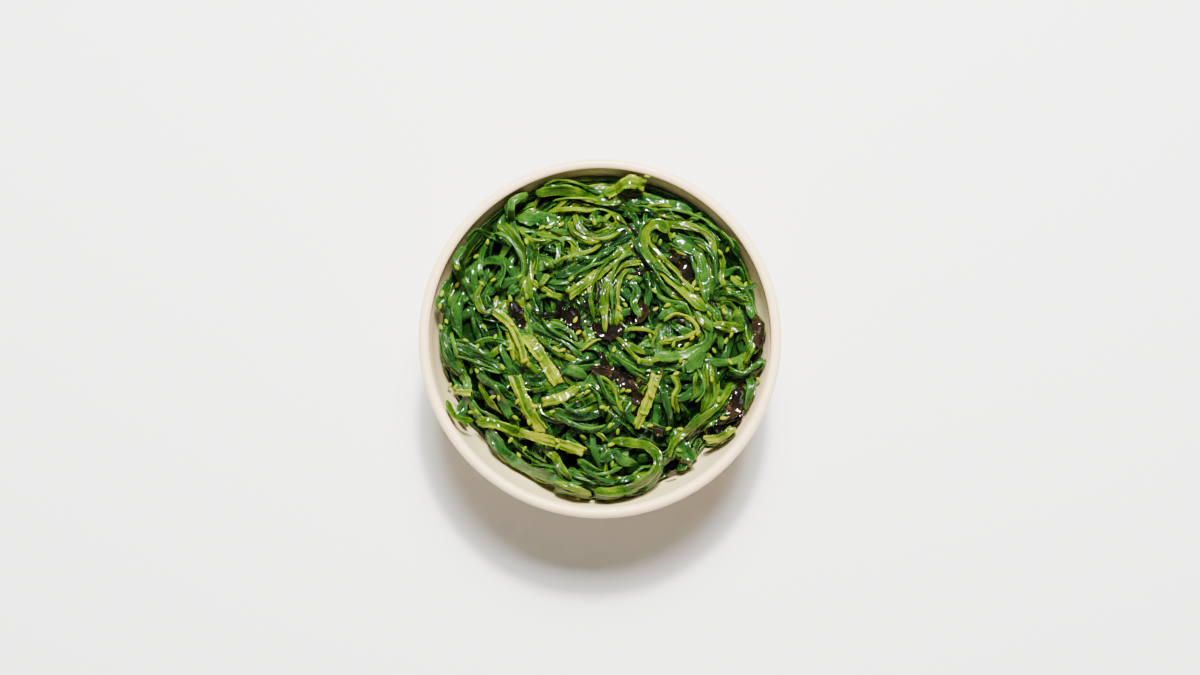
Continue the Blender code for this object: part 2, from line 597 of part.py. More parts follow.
def seed_solid(centre, angle):
    """Points and faces of a sesame seed: a flat drop with four sides, blunt at one end."""
    stations = ((-0.28, 1.0), (0.18, 0.72))
    points = [(-SEED_LENGTH / 2, 0.0, 0.0)]
    for place, share in stations:
        for side, up in ((0, -1), (1, 0), (0, 1), (-1, 0)):
            points.append((place * SEED_LENGTH, side * share * SEED_WIDTH / 2, up * share * SEED_HEIGHT / 2))
    points.append((SEED_LENGTH / 2, 0.0, 0.0))
    faces = []
    for k in range(4):
        n = (k + 1) % 4
        faces += [(0, 1 + n, 1 + k), (1 + k, 1 + n, 5 + n), (1 + k, 5 + n, 5 + k), (5 + k, 5 + n, 9)]
    points = np.array(points)
    turn = np.array([[math.cos(angle), -math.sin(angle)], [math.sin(angle), math.cos(angle)]])
    points[:, :2] = points[:, :2] @ turn.T
    return points + centre, faces


def settled_seed(relief, draw, place):
    """Owner, centre and turn of a seed at or near a place, where one strand alone carries it, or None."""
    around = np.linspace(0, 2 * math.pi, 12, endpoint=False)
    reach = SEED_LENGTH / 2 + GAP
    for step in range(24):
        away = 0.35 * math.sqrt(step)
        x, y = place + away * np.array([math.cos(2.4 * step), math.sin(2.4 * step)])
        turn = draw.uniform(0, math.pi)
        along, side = reach * np.cos(around), 0.7 * reach * np.sin(around)
        ring_x = x + along * math.cos(turn) - side * math.sin(turn)
        ring_y = y + along * math.sin(turn) + side * math.cos(turn)
        i, j = relief.cell(np.append(ring_x, x), np.append(ring_y, y))
        owners, heights = relief.owner[i, j], relief.height[i, j]
        others = heights[:-1][owners[:-1] != owners[-1]]
        if owners[-1] >= 0 and not (others.size and others.max() > heights[-1] - SEED_SINK - GAP):
            return owners[-1], (x, y, heights[-1] - SEED_SINK + SEED_HEIGHT / 2 - 0.1), turn
    return None


def scatter_seeds(relief):
    """The seeds that settle, as (owner, centre, turn), apart from each other."""
    draw = np.random.default_rng(SEED_DRAW)
    found = []
    for place in plan_of_seen(SEED_PLACES):
        seed = settled_seed(relief, draw, place)
        if seed is None:
            continue
        if any(math.dist(seed[1][:2], other[1][:2]) < SEED_WIDTH + GAP for other in found):
            continue
        found.append(seed)
    return found[:SEED_COUNT]


def join_pieces(name, finish, pieces):
    """One object from overlapping solids, the first of them the main one, by a single Boolean union."""
    main = object_of(name, finish, *pieces[0])
    if len(pieces) > 1:
        extras = bpy.data.collections.new(name + "_extras")
        bpy.context.scene.collection.children.link(extras)
        for number, (points, faces) in enumerate(pieces[1:]):
            object_of(f"{name}_extra_{number}", finish, points, faces, extras)
        union = main.modifiers.new("join", "BOOLEAN")
        union.operation = "UNION"
        union.operand_type = "COLLECTION"
        union.collection = extras
        union.solver = "MANIFOLD"
        apply_modifiers(main)
        for obj in list(extras.objects):
            bpy.data.objects.remove(obj)
        bpy.data.collections.remove(extras)
    keep_largest_body(main)
    return main


def apply_modifiers(obj):
    """Replaces an object's mesh by its evaluated one."""
    graph = bpy.context.evaluated_depsgraph_get()
    made = bpy.data.meshes.new_from_object(obj.evaluated_get(graph), depsgraph=graph)
    obj.modifiers.clear()
    obj.data = made


def keep_largest_body(obj):
    """Drops loose scraps, so that one closed body is left."""
    shape = bmesh.new()
    shape.from_mesh(obj.data)
    bmesh.ops.remove_doubles(shape, verts=shape.verts, dist=0.002 * MM)
    bodies, seen = [], set()
    for start in shape.verts:
        if start in seen:
            continue
        body, waiting = [], [start]
        seen.add(start)
        while waiting:
            vert = waiting.pop()
            body.append(vert)
            for edge in vert.link_edges:
                other = edge.other_vert(vert)
                if other not in seen:
                    seen.add(other)
                    waiting.append(other)
        bodies.append(body)
    largest = max(bodies, key=len)
    scraps = [vert for body in bodies if body is not largest for vert in body]
    bmesh.ops.delete(shape, geom=scraps, context="VERTS")
    shape.to_mesh(obj.data)
    shape.free()


def main():
    """Builds the bowl, the tangled bed, each upper strand and the seeds fused to what they lie on."""
    clear_scene()
    make_bowl()
    relief = Relief()
    draw = np.random.default_rng(BED_SEED)
    bed_pieces = [core_solid()]
    for _ in range(BED_COUNT):
        width = draw.uniform(*BED_WIDTH)
        blade = Blade(barest_path(relief, draw, width), width, BED_THICKNESS, False)
        blade.hang_in_heap(draw.uniform(*BED_DEPTH), draw.uniform(0, 2 * math.pi))
        blade.add_to(relief, 0)
        bed_pieces.append(blade.solid(1, BED_RING_STEP, BED_TOP_SHARE))
    pieces = {"wakame_bed": ("bed", bed_pieces)}
    for number, strand in enumerate(STRANDS, start=1):
        square_ends = strand.finish == "pale"
        blade = Blade(plan_of_seen(strand.points), strand.width, strand.thickness, square_ends)
        blade.rest_on(relief)
        blade.add_to(relief, number)
        pieces[strand.name] = (strand.finish, [blade.solid(2, RING_STEP, 1.0)])
    names = list(pieces)
    for owner, centre, turn in scatter_seeds(relief):
        pieces[names[owner]][1].append(seed_solid(centre, turn))
    for name, (finish, solids) in pieces.items():
        join_pieces(name, finish, solids)


main()
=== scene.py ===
"""Shredded wakame salad heaped in a round cream bowl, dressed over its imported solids.

Lengths are worked out in millimetres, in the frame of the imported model, and turned into metres when a
mesh is made. The strands of the source are laid out again by the same rule, so each fine strand lies
where its solid is. Finer strands then fill the heap between and under them.
"""

import logging
import math
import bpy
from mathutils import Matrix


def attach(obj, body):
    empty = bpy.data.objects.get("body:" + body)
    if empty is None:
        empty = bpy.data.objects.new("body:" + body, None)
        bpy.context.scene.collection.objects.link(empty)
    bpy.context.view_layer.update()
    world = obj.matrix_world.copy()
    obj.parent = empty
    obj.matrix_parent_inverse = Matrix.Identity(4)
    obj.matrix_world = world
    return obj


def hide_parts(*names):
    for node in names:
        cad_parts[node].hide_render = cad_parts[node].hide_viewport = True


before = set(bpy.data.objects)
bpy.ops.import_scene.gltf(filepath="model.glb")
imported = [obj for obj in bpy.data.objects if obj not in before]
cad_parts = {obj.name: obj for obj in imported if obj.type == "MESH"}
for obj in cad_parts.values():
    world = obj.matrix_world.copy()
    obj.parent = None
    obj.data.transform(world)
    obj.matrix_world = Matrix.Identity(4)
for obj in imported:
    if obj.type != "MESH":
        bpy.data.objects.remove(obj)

from copy import copy
from dataclasses import dataclass, field
from enum import Enum, IntEnum
from typing import NamedTuple

import bpy
import numpy as np
from mathutils import Vector

LOG = logging.getLogger("wakame")
BODY = "root"

# A millimetre in metres, the spacing of the points of a path, and the cells and half side of the square
# grid on which heights are kept, in mm.
MM = 0.001
PATH_STEP = 0.5
CELL = 0.5
GRID_HALF = 66.0

# A whole turn in radians, and the range that a sine's random start is drawn from.
FULL_TURN = 2 * math.pi
PHASES = (0.0, 6.28)


class Kind(Enum):
    """What a strand is made of, which names its finish."""

    DEEP = "deep"
    GREEN = "green"
    BRIGHT = "bright"
    PALE = "pale"
    EAR = "ear"
    CORE = "core"


class Owner(IntEnum):
    """What lies topmost in a cell of a relief."""

    BARE = -1
    BED = 0
    FILLING = 1
    PLAIN_FROND = 2
    STRAY = 3
    KEPT_CLEAR = 4


class Strand(NamedTuple):
    """A cut piece of the salad by its middle line seen from above, in mm."""

    name: str
    kind: Kind
    width: float
    thickness: float
    points: tuple


# The strands of the source, from the lowest to the topmost.
STRANDS = (
    Strand("ear_right_wall", Kind.EAR, 4.6, 1.0, ((55.0, 7), (56.6, 1), (56.4, -5))),
    Strand("ear_lower_right", Kind.EAR, 5.4, 1.0, ((50.5, -17), (48.5, -23), (46, -28), (41, -32))),
    Strand("slice_wall_right", Kind.PALE, 3.0, 1.0, ((36.5, -38), (42, -37.4), (46.5, -34))),
    Strand("ear_centre_left", Kind.EAR, 6.4, 1.0, ((-13, 10), (-9, 6), (-7, -1))),
    Strand("ear_centre", Kind.EAR, 5.6, 1.0, ((-3, 5), (3, 1.5), (9, 3))),
    Strand("ear_lower_centre", Kind.EAR, 6.0, 1.0, ((7, -14), (11, -19), (15, -24))),
    Strand("ear_upper_right", Kind.EAR, 6.4, 1.0, ((25, 28.5), (30, 26), (32, 20))),
    Strand("ear_left", Kind.EAR, 4.6, 1.0, ((-32, 13), (-29.5, 8), (-27, 3))),
    Strand("frond_rim_lower_left", Kind.DEEP, 4.2, 1.2,
           ((-39, -33), (-36, -39), (-30, -45), (-23, -49), (-14, -51.5), (-5, -52))),
    Strand("frond_dark_upper", Kind.DEEP, 3.2, 1.2, ((-11, 31), (-4, 31), (4, 33.5), (12, 37.5))),
    Strand("frond_dark_lower", Kind.DEEP, 3.4, 1.2, ((-16, 21.5), (-9, 24), (-1, 27.5), (6, 32))),
    Strand("frond_top_right", Kind.DEEP, 3.4, 1.2, ((9, 48), (17, 49), (25, 47), (33, 43.5))),
    Strand("frond_centre_dark", Kind.DEEP, 3.4, 1.2, ((-17, -26.5), (-10, -28.5), (-3, -28.5), (3, -26))),
    Strand("frond_left_low", Kind.DEEP, 3.0, 1.2, ((-54, -4), (-47, -6.5), (-40, -10), (-33, -13))),
    Strand("frond_left_edge", Kind.DEEP, 3.2, 1.1, ((-55, 4), (-55, -3), (-53, -9), (-49, -14))),
    Strand("frond_left_outer", Kind.GREEN, 3.0, 1.2, ((-49, 31), (-50.5, 25), (-48, 19), (-45, 12))),
    Strand("frond_right_edge", Kind.GREEN, 3.0, 1.1, ((52, -13), (53, -20), (50.5, -27))),
    Strand("frond_right_arc", Kind.GREEN, 3.0, 1.1, ((41, 13.5), (47, 14), (52, 11), (54, 5))),
    Strand("leaf_upper_left", Kind.GREEN, 6.4, 0.9, ((-31, 43.5), (-24, 42.5), (-15, 42))),
    Strand("leaf_lower_right", Kind.GREEN, 6.0, 0.9, ((24, -36), (29, -41), (33, -45))),
    Strand("frond_left_curl", Kind.BRIGHT, 2.8, 1.2,
           ((-41, 20), (-44, 14.5), (-42, 9), (-38, 9.5), (-37, 15))),
    Strand("frond_upper_left", Kind.GREEN, 3.4, 1.1, ((-26.5, 51), (-31, 47), (-31.5, 41), (-29, 35))),
    Strand("frond_top_band", Kind.BRIGHT, 4.0, 1.1, ((-23, 50), (-14, 51.5), (-5, 50.5), (2, 49), (9, 50))),
    Strand("frond_upper_cup", Kind.BRIGHT, 2.9, 1.2,
           ((-9, 44.5), (-7.5, 40), (-3, 36.8), (3, 37.8), (6, 41.5))),
    Strand("frond_hook", Kind.BRIGHT, 3.1, 1.2,
           ((-23, 37.5), (-17, 36.5), (-12.5, 36), (-9.5, 33), (-9.5, 28.5))),
    Strand("frond_left_sweep", Kind.BRIGHT, 3.8, 1.2,
           ((-37, 40), (-32, 37), (-28, 31), (-26, 24.5), (-26, 18), (-25, 13.5))),
    Strand("frond_right_inner", Kind.GREEN, 3.4, 1.2,
           ((26, 36.5), (30, 33), (35, 30), (37.5, 25), (38, 18), (38, 12))),
    Strand("frond_right_top", Kind.BRIGHT, 3.6, 1.2,
           ((20, 40.5), (27, 39.8), (34, 38), (39.5, 34), (41, 27))),
    Strand("frond_ring_lower", Kind.GREEN, 3.4, 1.2, ((3, -3.5), (8, -8), (14, -11), (22, -12))),
    Strand("frond_ring_post", Kind.GREEN, 2.9, 1.2, ((24, 5), (21.5, 0), (21, -5), (19.5, -10))),
    Strand("frond_ring", Kind.GREEN, 3.8, 1.2,
           ((21, 6), (26, 9), (33, 8), (38, 3.8), (38.8, -2), (34, -5.7), (27, -7.5), (19, -8))),
    Strand("leaf_right", Kind.GREEN, 6.4, 0.9, ((37, -5), (34, -9), (31, -13))),
    Strand("frond_right_flat", Kind.BRIGHT, 4.2, 1.1, ((40.5, 4), (46, 3), (52, 2.5))),
    Strand("frond_right_drop", Kind.BRIGHT, 3.4, 1.2, ((37.5, -10), (38.3, -16), (38.5, -22), (36, -28))),
    Strand("frond_right_diagonal", Kind.BRIGHT, 3.0, 1.2,
           ((47, -17), (43, -24), (37, -29.5), (31, -34), (26, -38.5), (24, -44))),
    Strand("frond_rim_right", Kind.GREEN, 1.8, 1.0, ((45, -13.5), (50, -14.5), (54.5, -12), (57.8, -9))),
    Strand("frond_centre_rise", Kind.BRIGHT, 3.2, 1.2,
           ((2, 1), (1.5, 9), (2, 16), (4.5, 22), (9, 26), (15, 27))),
    Strand("frond_bottom_gloss", Kind.GREEN, 3.2, 1.2, ((-11, -48.5), (-4, -51.3), (4, -52.6), (12, -50.5))),
    Strand("frond_bottom_drop", Kind.BRIGHT, 3.2, 1.2, ((-20, -40), (-16, -43.5), (-13.5, -48), (-10, -52))),
    Strand("frond_bottom_stub", Kind.BRIGHT, 3.2, 1.1, ((-15, -53), (-9, -55), (-3, -57))),
    Strand("frond_bottom_loop", Kind.BRIGHT, 3.4, 1.3,
           ((4, -37.5), (11, -38.3), (17, -39.5), (20.3, -44), (18.5, -49.5), (13, -53.5), (5, -56),
            (-2, -56))),
    Strand("frond_centre_left", Kind.GREEN, 3.6, 1.2,
           ((-24, 4.5), (-20, 1.5), (-15, -0.5), (-10.5, -3.5), (-7, -7.5))),
    Strand("frond_centre_gloss", Kind.GREEN, 3.6, 1.2, ((-3, -17), (1, -20), (4.5, -24), (8.5, -28.5))),
    Strand("frond_right_slope", Kind.BRIGHT, 3.0, 1.2,
           ((22, 18), (26.5, 15), (31, 13), (34, 9), (36, 5), (39.5, 1.5))),
    Strand("slice_serrated", Kind.PALE, 4.4, 0.9, ((-27, 0), (-22, -6), (-18, -12), (-15, -17))),
    Strand("slice_lower_centre", Kind.PALE, 3.6, 0.9, ((-20, -24), (-14, -22.5), (-8, -19))),
    Strand("slice_right_yellow", Kind.PALE, 3.6, 0.9, ((20, -14.5), (18, -21), (15.5, -27), (13, -33))),
    Strand("slice_left_long", Kind.PALE, 3.1, 0.9, ((-38, 9), (-33, 5), (-30, 0), (-28, -5), (-26.5, -11))),
    Strand("slice_left_wide", Kind.PALE, 4.6, 0.9,
           ((-30.5, -14.5), (-28, -21), (-24.5, -28), (-20.5, -34.5))),
    Strand("slice_lower_long", Kind.PALE, 3.7, 0.9,
           ((-43, -31), (-35, -32.7), (-27, -35.5), (-20, -37.3), (-13, -39.3), (-6, -41.5))),
    Strand("frond_right_sweep", Kind.BRIGHT, 3.8, 1.2,
           ((25, 37), (21, 40), (17, 38.5), (15.8, 33), (18.5, 28), (23, 22.5), (28, 17), (33, 12.5),
            (38, 8.5))),
    Strand("slice_centre", Kind.PALE, 3.8, 0.9, ((-11, 15), (-4, 20), (3, 25.5), (10.5, 32))),
    Strand("slice_top", Kind.PALE, 4.8, 0.9, ((2, 51.5), (9, 53.5), (16.5, 56))),
)

# Strands that only the heap's filling has, followed from the photograph: the kind, the width, the
# thickness and the middle line of each. They lie just under the others.
UNDER_STRANDS = tuple(Strand("under", *row) for row in (
    (Kind.GREEN, 2.2, 1.0, ((-49, 33), (-44, 36), (-38, 35.5), (-33, 33))),
    (Kind.GREEN, 2.2, 1.0, ((-40, 34), (-42.5, 29), (-43, 23), (-41, 18))),
    (Kind.DEEP, 2.6, 1.1, ((-52.5, 12), (-52.5, 6), (-50.5, 1), (-47.5, -3.5))),
    (Kind.DEEP, 3.4, 1.1, ((-53, 18.5), (-56, 15), (-56.5, 11), (-54.5, 6.5))),
    (Kind.GREEN, 3.0, 1.0, ((-26.5, 20.5), (-30, 17.5), (-33.5, 14.5))),
    (Kind.DEEP, 3.6, 1.1, ((11, 50.5), (19, 50), (26, 47.5), (33, 45.5))),
    (Kind.GREEN, 2.2, 1.0, ((25, 40), (31, 40.8), (37, 43))),
    (Kind.GREEN, 2.0, 1.0, ((42, 33), (46, 32.5), (51, 29))),
    (Kind.BRIGHT, 2.0, 1.0, ((42.5, 31), (44, 26), (43.5, 20), (46, 16))),
    (Kind.BRIGHT, 2.5, 1.0, ((41, 35), (40, 28), (40, 21), (38.8, 14.5))),
    (Kind.GREEN, 2.2, 1.0, ((39.5, 11), (43, 13.5), (49, 15), (56, 17.5))),
    (Kind.BRIGHT, 2.5, 1.0, ((2.5, -2), (6, -4), (11, -4), (16, -6.5))),
    (Kind.GREEN, 1.8, 0.9, ((-45, -3), (-40, -1.6), (-35, -2.3), (-31, -4.5))),
    (Kind.DEEP, 3.0, 1.1, ((-44, -14), (-40, -17), (-36, -21), (-33, -27), (-29, -33))),
    (Kind.DEEP, 3.8, 1.1, ((-45, -21), (-48, -25), (-48.5, -29), (-46.5, -33.5))),
    (Kind.BRIGHT, 2.4, 0.8, ((-54, -25), (-52.3, -28), (-50, -31.3))),
    (Kind.BRIGHT, 3.4, 0.9, ((-56, -10.5), (-52, -10), (-49, -13))),
    (Kind.GREEN, 2.5, 1.0, ((-26, -47), (-20, -47.2), (-15, -48))),
    (Kind.BRIGHT, 1.8, 1.0, ((-2, -34.5), (1.5, -37), (3, -42), (2, -48), (2.5, -52.5), (5.3, -54.8))),
    (Kind.GREEN, 3.0, 0.9, ((3.5, -49), (6.5, -46.5), (8.8, -43), (9.5, -41))),
    (Kind.GREEN, 2.5, 1.0, ((-10, -33), (-11, -36.5), (-8, -39.5), (-3, -42))),
    (Kind.GREEN, 3.0, 1.0, ((-8, -44), (-3, -47.5), (3, -49))),
    (Kind.DEEP, 3.9, 1.1, ((-19, -24), (-13, -27.5), (-7, -28), (1, -27.5))),
    (Kind.BRIGHT, 2.5, 1.0, ((38.5, -6), (40.5, -12), (41.5, -18), (40.5, -24))),
    (Kind.DEEP, 4.2, 1.1, ((49, -16), (46, -21.5), (42.5, -26), (36, -31))),
    (Kind.PALE, 2.6, 0.8, ((26, -14.5), (27.8, -18.5), (26.2, -22.5), (27.2, -27.5))),
    (Kind.DEEP, 2.5, 1.0, ((21.5, -17), (23, -22), (24.5, -28), (25.5, -34))),
    (Kind.GREEN, 3.4, 1.1, ((27, -33), (26, -38), (25, -42.5), (20.5, -48))),
    (Kind.GREEN, 5.4, 0.9, ((35, -37), (33.5, -41), (30.5, -45), (27, -48))),
    (Kind.PALE, 2.6, 0.8, ((-8.5, 15.5), (-4, 16.8), (0, 17))),
    (Kind.PALE, 2.2, 0.8, ((-24.5, 20), (-20, 16.5), (-16.5, 14.2), (-14, 13.5))),
    (Kind.PALE, 3.2, 0.8, ((-29, 13), (-26, 10.5), (-23.5, 8))),
    (Kind.GREEN, 3.0, 1.0, ((24, 6), (21.8, 1), (20.5, -5), (18.5, -10))),
    (Kind.BRIGHT, 2.0, 1.0, ((19.5, 34), (20.5, 37.5), (24, 38), (26.5, 35.5), (30, 33), (34, 31))),
    (Kind.GREEN, 1.8, 1.0, ((-19, 36.5), (-15.5, 34), (-14.8, 30), (-15.5, 26), (-15.5, 22))),
    (Kind.EAR, 4.6, 1.0, ((14, 12), (15.5, 8), (13, 4))),
    (Kind.EAR, 4.0, 1.0, ((50, -28), (45, -33), (39, -32))),
    (Kind.EAR, 3.6, 1.0, ((18, -33), (21, -34), (24, -35.5))),
    (Kind.BRIGHT, 3.2, 0.9, ((-26, 34), (-23.5, 31), (-23, 27), (-24.5, 22))),
    (Kind.GREEN, 3.4, 1.0, ((0, -45), (5, -42.5), (8, -45), (13, -46))),
    (Kind.GREEN, 2.6, 1.0, ((-35, 27), (-34.5, 22), (-36.5, 18), (-35, 14))),
    (Kind.BRIGHT, 2.6, 1.0, ((-20, 28), (-18, 24), (-19.5, 20), (-22, 17))),
    (Kind.GREEN, 2.8, 1.0, ((10, 20), (13, 16), (12, 11), (14.5, 6))),
    (Kind.BRIGHT, 1.8, 0.9, ((56, -1.5), (53, -7), (50, -12.5))),
    (Kind.PALE, 1.4, 0.8, ((-21.2, 51.5), (-23, 48), (-24.5, 45.5))),
    (Kind.EAR, 2.6, 0.9, ((23, -50), (25, -49.6), (27, -49))),
    (Kind.BRIGHT, 2.4, 0.9, ((-10, 50), (-4, 48.5), (3, 49), (9, 49.5))),
    (Kind.PALE, 2.2, 0.8, ((-12.4, -7.4), (-10, -8.3), (-7.6, -9.2))),
    (Kind.PALE, 2.4, 0.8, ((-51, -20.6), (-48.5, -21), (-45.8, -21.2))),
    (Kind.PALE, 2.2, 0.8, ((3, -27.6), (5.5, -28), (8, -28.3))),
    (Kind.EAR, 4.8, 0.9, ((-15, -12), (-11, -14.5), (-7, -14.5))),
    (Kind.EAR, 4.2, 0.9, ((-3.5, -11.5), (1, -13), (5, -12))),
    (Kind.EAR, 4.4, 0.9, ((-6, 13), (-2, 11), (2, 10))),
    (Kind.EAR, 4.4, 0.9, ((12, -20), (16, -19), (19, -22))),
    (Kind.EAR, 3.8, 0.9, ((24, 24), (27.5, 21), (29.5, 16))),
    (Kind.EAR, 3.2, 0.9, ((-14, 23), (-12, 27), (-12.5, 31))),
    (Kind.EAR, 6.0, 0.9, ((-9, 12), (-5, 9.5), (0, 9))),
    (Kind.EAR, 5.4, 0.9, ((-6, 7.5), (-1, 6), (4, 6.5))),
    (Kind.EAR, 4.6, 0.9, ((2, 9.5), (6, 8), (9, 5.5))),
    (Kind.EAR, 4.4, 0.9, ((4, -13), (8, -15.5), (12, -16))),
    (Kind.BRIGHT, 2.2, 0.8, ((-54.2, -25.5), (-52, -29.2), (-48.5, -31.5), (-44, -31.5))),
))

# Fronds that are one broad ribbon, and the tone of each.
BROAD_FRONDS = {
    "frond_bottom_loop": 0.42, "frond_ring": 0.80, "frond_right_sweep": 0.72, "frond_left_sweep": 0.50,
    "frond_top_band": 0.22, "frond_right_diagonal": 0.30, "frond_hook": 0.72,
    "frond_rim_lower_left": 0.85,
}

# Where strips of wood-ear lie among the seaweed: the middle and the reach of each place, in mm.
DARK_PLACES = ((-4, 6, 12), (11, -17, 9), (28, 23, 7), (-14, -13, 6))

# How high strands lean on the wall: angles round the axis in degrees, and the height at each in mm.
LEAN_LEVELS = ((8, 30, 60, 90, 125, 150, 166, 180), (37.0, 41.5, 43.0, 42.5, 43.5, 42.5, 40.0, 36.0))

# Where the sesame seeds lie, seen from above, in mm.
SEED_PLACES = (
    (-40.2, 33.2), (-44.4, 28.2), (-51, 17.8), (-42.5, 18.8), (-38.5, 20), (-32.2, 13.3), (-26.3, 14),
    (-26.3, 33.3), (-21, 39), (-18.5, 39), (-14, 40.6), (-55.3, 12.8), (-56, 8.3), (-54.5, 4.3), (-56.3, 2),
    (-41.5, 3), (-31.5, 4), (-37.3, -0.8), (-2, 40.2), (-10.5, 20), (-4, 15.8), (-18, 14), (-8.8, 5.5),
    (-7.7, 0.7), (-5.5, 0.2), (-28.8, 21), (-50.3, 22), (16.8, 55.5), (21.8, 34.3), (26.5, 36), (43, 29.5),
    (45.5, 30), (33.5, 18), (34.5, 16), (49.5, 20.5), (52, 18), (19.5, 16), (9, 11), (20, 9.8), (24, 10.5),
    (7, 9), (7.5, 6), (39, 7.5), (44.5, 8.7), (11, 20.5), (-43.5, -4.5), (-32.3, -5), (-34.8, -11.5),
    (-46, -12.5), (-43.8, -13), (-47.5, -2.5), (-53.5, -18.2), (-51.5, -18.5), (-38, -22.5), (-35.8, -23),
    (-45.5, -28), (-43.5, -27.8), (-30, -29.5), (-25.2, -31.3), (-23.3, -25.5), (-21, -8.5), (-27, -9.5),
    (-15.8, -5), (-13.5, -5.5), (-14.8, -15), (-4.7, -18.5), (-4.8, -20.5), (-17, -27.5), (-31.5, -38),
    (-28.5, -43), (-15, -38), (-14.8, -40), (-6, -36.3), (-26.5, -41), (-29.5, -24), (18, -0.5),
    (25.3, -1.8), (26.2, -3.5), (32.7, -1.5), (31, -3.3), (5, -5), (13.8, -9.5), (28.8, -9.2), (27, -14),
    (41, -5), (45.3, -1.5), (46.3, -9.8), (39.5, -16.3), (20, -15), (20, -18), (18, -21.5), (8, -19.8),
    (10, -20), (1, -26), (2.5, -26.5), (15.3, -28), (17.6, -32.5), (24.3, -33.5), (28.2, -33.8),
    (3.5, -32.5), (6.3, -34.5), (43.5, -30.2), (42, -23.3), (55.8, -16.5), (27.8, -41.5), (4, -39),
    (4.3, -46.3), (47, 0.2),
)


def rows(*columns: np.ndarray) -> np.ndarray:
    """Columns side by side, as an array of points."""
    return np.stack(columns, axis=-1)


def unit(vectors: np.ndarray) -> np.ndarray:
    """Vectors along the last axis, each brought to length 1."""
    return vectors / np.maximum(np.linalg.norm(vectors, axis=-1, keepdims=True), 1e-9)


class Surface(NamedTuple):
    """A grid of points with what its finish reads at each of them.

    points has the shape (rings, around, 3), in mm. It closes round its second axis, and each end is
    closed by a pole. tone is one number for the whole grid, and edge has the shape (rings, around).
    """

    points: np.ndarray
    tone: float
    edge: np.ndarray


def mesh_of(name: str, surfaces: list[Surface]) -> bpy.types.Object:
    """One object from closed grids.

    Each grid gives a quad between every four neighbours and a fan of triangles to the mean point of its
    first and of its last ring. The UV map runs along the grid in centimetres and once around it.

    Args:
        name: the piece's name.
        surfaces: the grids, in mm.

    Returns:
        The object, at the origin, with attributes tone and edge on its points.
    """
    points, tone, edge, quads, fans, quad_uv, fan_uv = [], [], [], [], [], [], []
    start = 0
    for surface in surfaces:
        rings, around, _ = surface.points.shape
        index = start + np.arange(rings * around).reshape(rings, around)
        nxt = np.roll(index, -1, axis=1)
        quads.append(rows(index[:-1], nxt[:-1], nxt[1:], index[1:]).reshape(-1, 4))
        first, last = start + rings * around, start + rings * around + 1
        fans.append(rows(nxt[0], index[0], np.full(around, first)))
        fans.append(rows(index[-1], nxt[-1], np.full(around, last)))
        middle = surface.points.mean(axis=1)
        along = np.concatenate([[0.0], np.cumsum(np.linalg.norm(np.diff(middle, axis=0), axis=1))]) / 10.0
        u = np.repeat(along[:, None], around + 1, axis=1)
        v = np.repeat(np.linspace(0.0, 1.0, around + 1)[None], rings, axis=0)
        uv = rows(u, v)
        quad_uv.append(np.stack([uv[:-1, :-1], uv[:-1, 1:], uv[1:, 1:], uv[1:, :-1]], axis=2).reshape(-1, 2))
        fan_uv.append(np.stack([uv[0, 1:], uv[0, :-1], uv[0, :-1]], axis=1).reshape(-1, 2))
        fan_uv.append(np.stack([uv[-1, :-1], uv[-1, 1:], uv[-1, :-1]], axis=1).reshape(-1, 2))
        points.append(surface.points.reshape(-1, 3))
        points.append(np.stack([middle[0], middle[-1]]))
        tone.append(np.full(rings * around + 2, surface.tone))
        edge.append(np.concatenate([surface.edge.ravel(), [0.0, 0.0]]))
        start += rings * around + 2
    return object_of(
        name,
        np.concatenate(points),
        [np.concatenate(quads), np.concatenate(fans)],
        {"tone": np.concatenate(tone), "edge": np.concatenate(edge)},
        np.concatenate([*quad_uv, *fan_uv]),
    )


def object_of(
    name: str,
    points: np.ndarray,
    faces: list[np.ndarray],
    attributes: dict[str, np.ndarray] | None = None,
    uv: np.ndarray | None = None,
) -> bpy.types.Object:
    """An object with smooth faces, made from whole arrays.

    Args:
        name: the object's name.
        points: its points in mm, of shape (n, 3).
        faces: arrays of corner numbers, one array for each count of corners.
        attributes: values on the points, by name.
        uv: a place for every corner of the faces, in their order.

    Returns:
        The object, linked to the scene.
    """
    mesh = bpy.data.meshes.new(name)
    mesh.vertices.add(len(points))
    mesh.vertices.foreach_set("co", (points * MM).astype(np.float32).ravel())
    corners = np.concatenate([part.ravel() for part in faces]).astype(np.int32)
    totals = np.concatenate([np.full(len(part), part.shape[1]) for part in faces]).astype(np.int32)
    mesh.loops.add(len(corners))
    mesh.loops.foreach_set("vertex_index", corners)
    mesh.polygons.add(len(totals))
    mesh.polygons.foreach_set("loop_start", np.concatenate([[0], np.cumsum(totals)[:-1]]).astype(np.int32))
    mesh.polygons.foreach_set("loop_total", totals)
    mesh.update(calc_edges=True)
    mesh.validate()
    for key, values in (attributes or {}).items():
        layer = mesh.attributes.new(key, "FLOAT", "POINT")
        layer.data.foreach_set("value", values.astype(np.float32))
    if uv is not None:
        layer = mesh.uv_layers.new(name="UVMap")
        layer.data.foreach_set("uv", uv.astype(np.float32).ravel())
    mesh.shade_smooth()
    made = bpy.data.objects.new(name, mesh)
    bpy.context.scene.collection.objects.link(made)
    return made


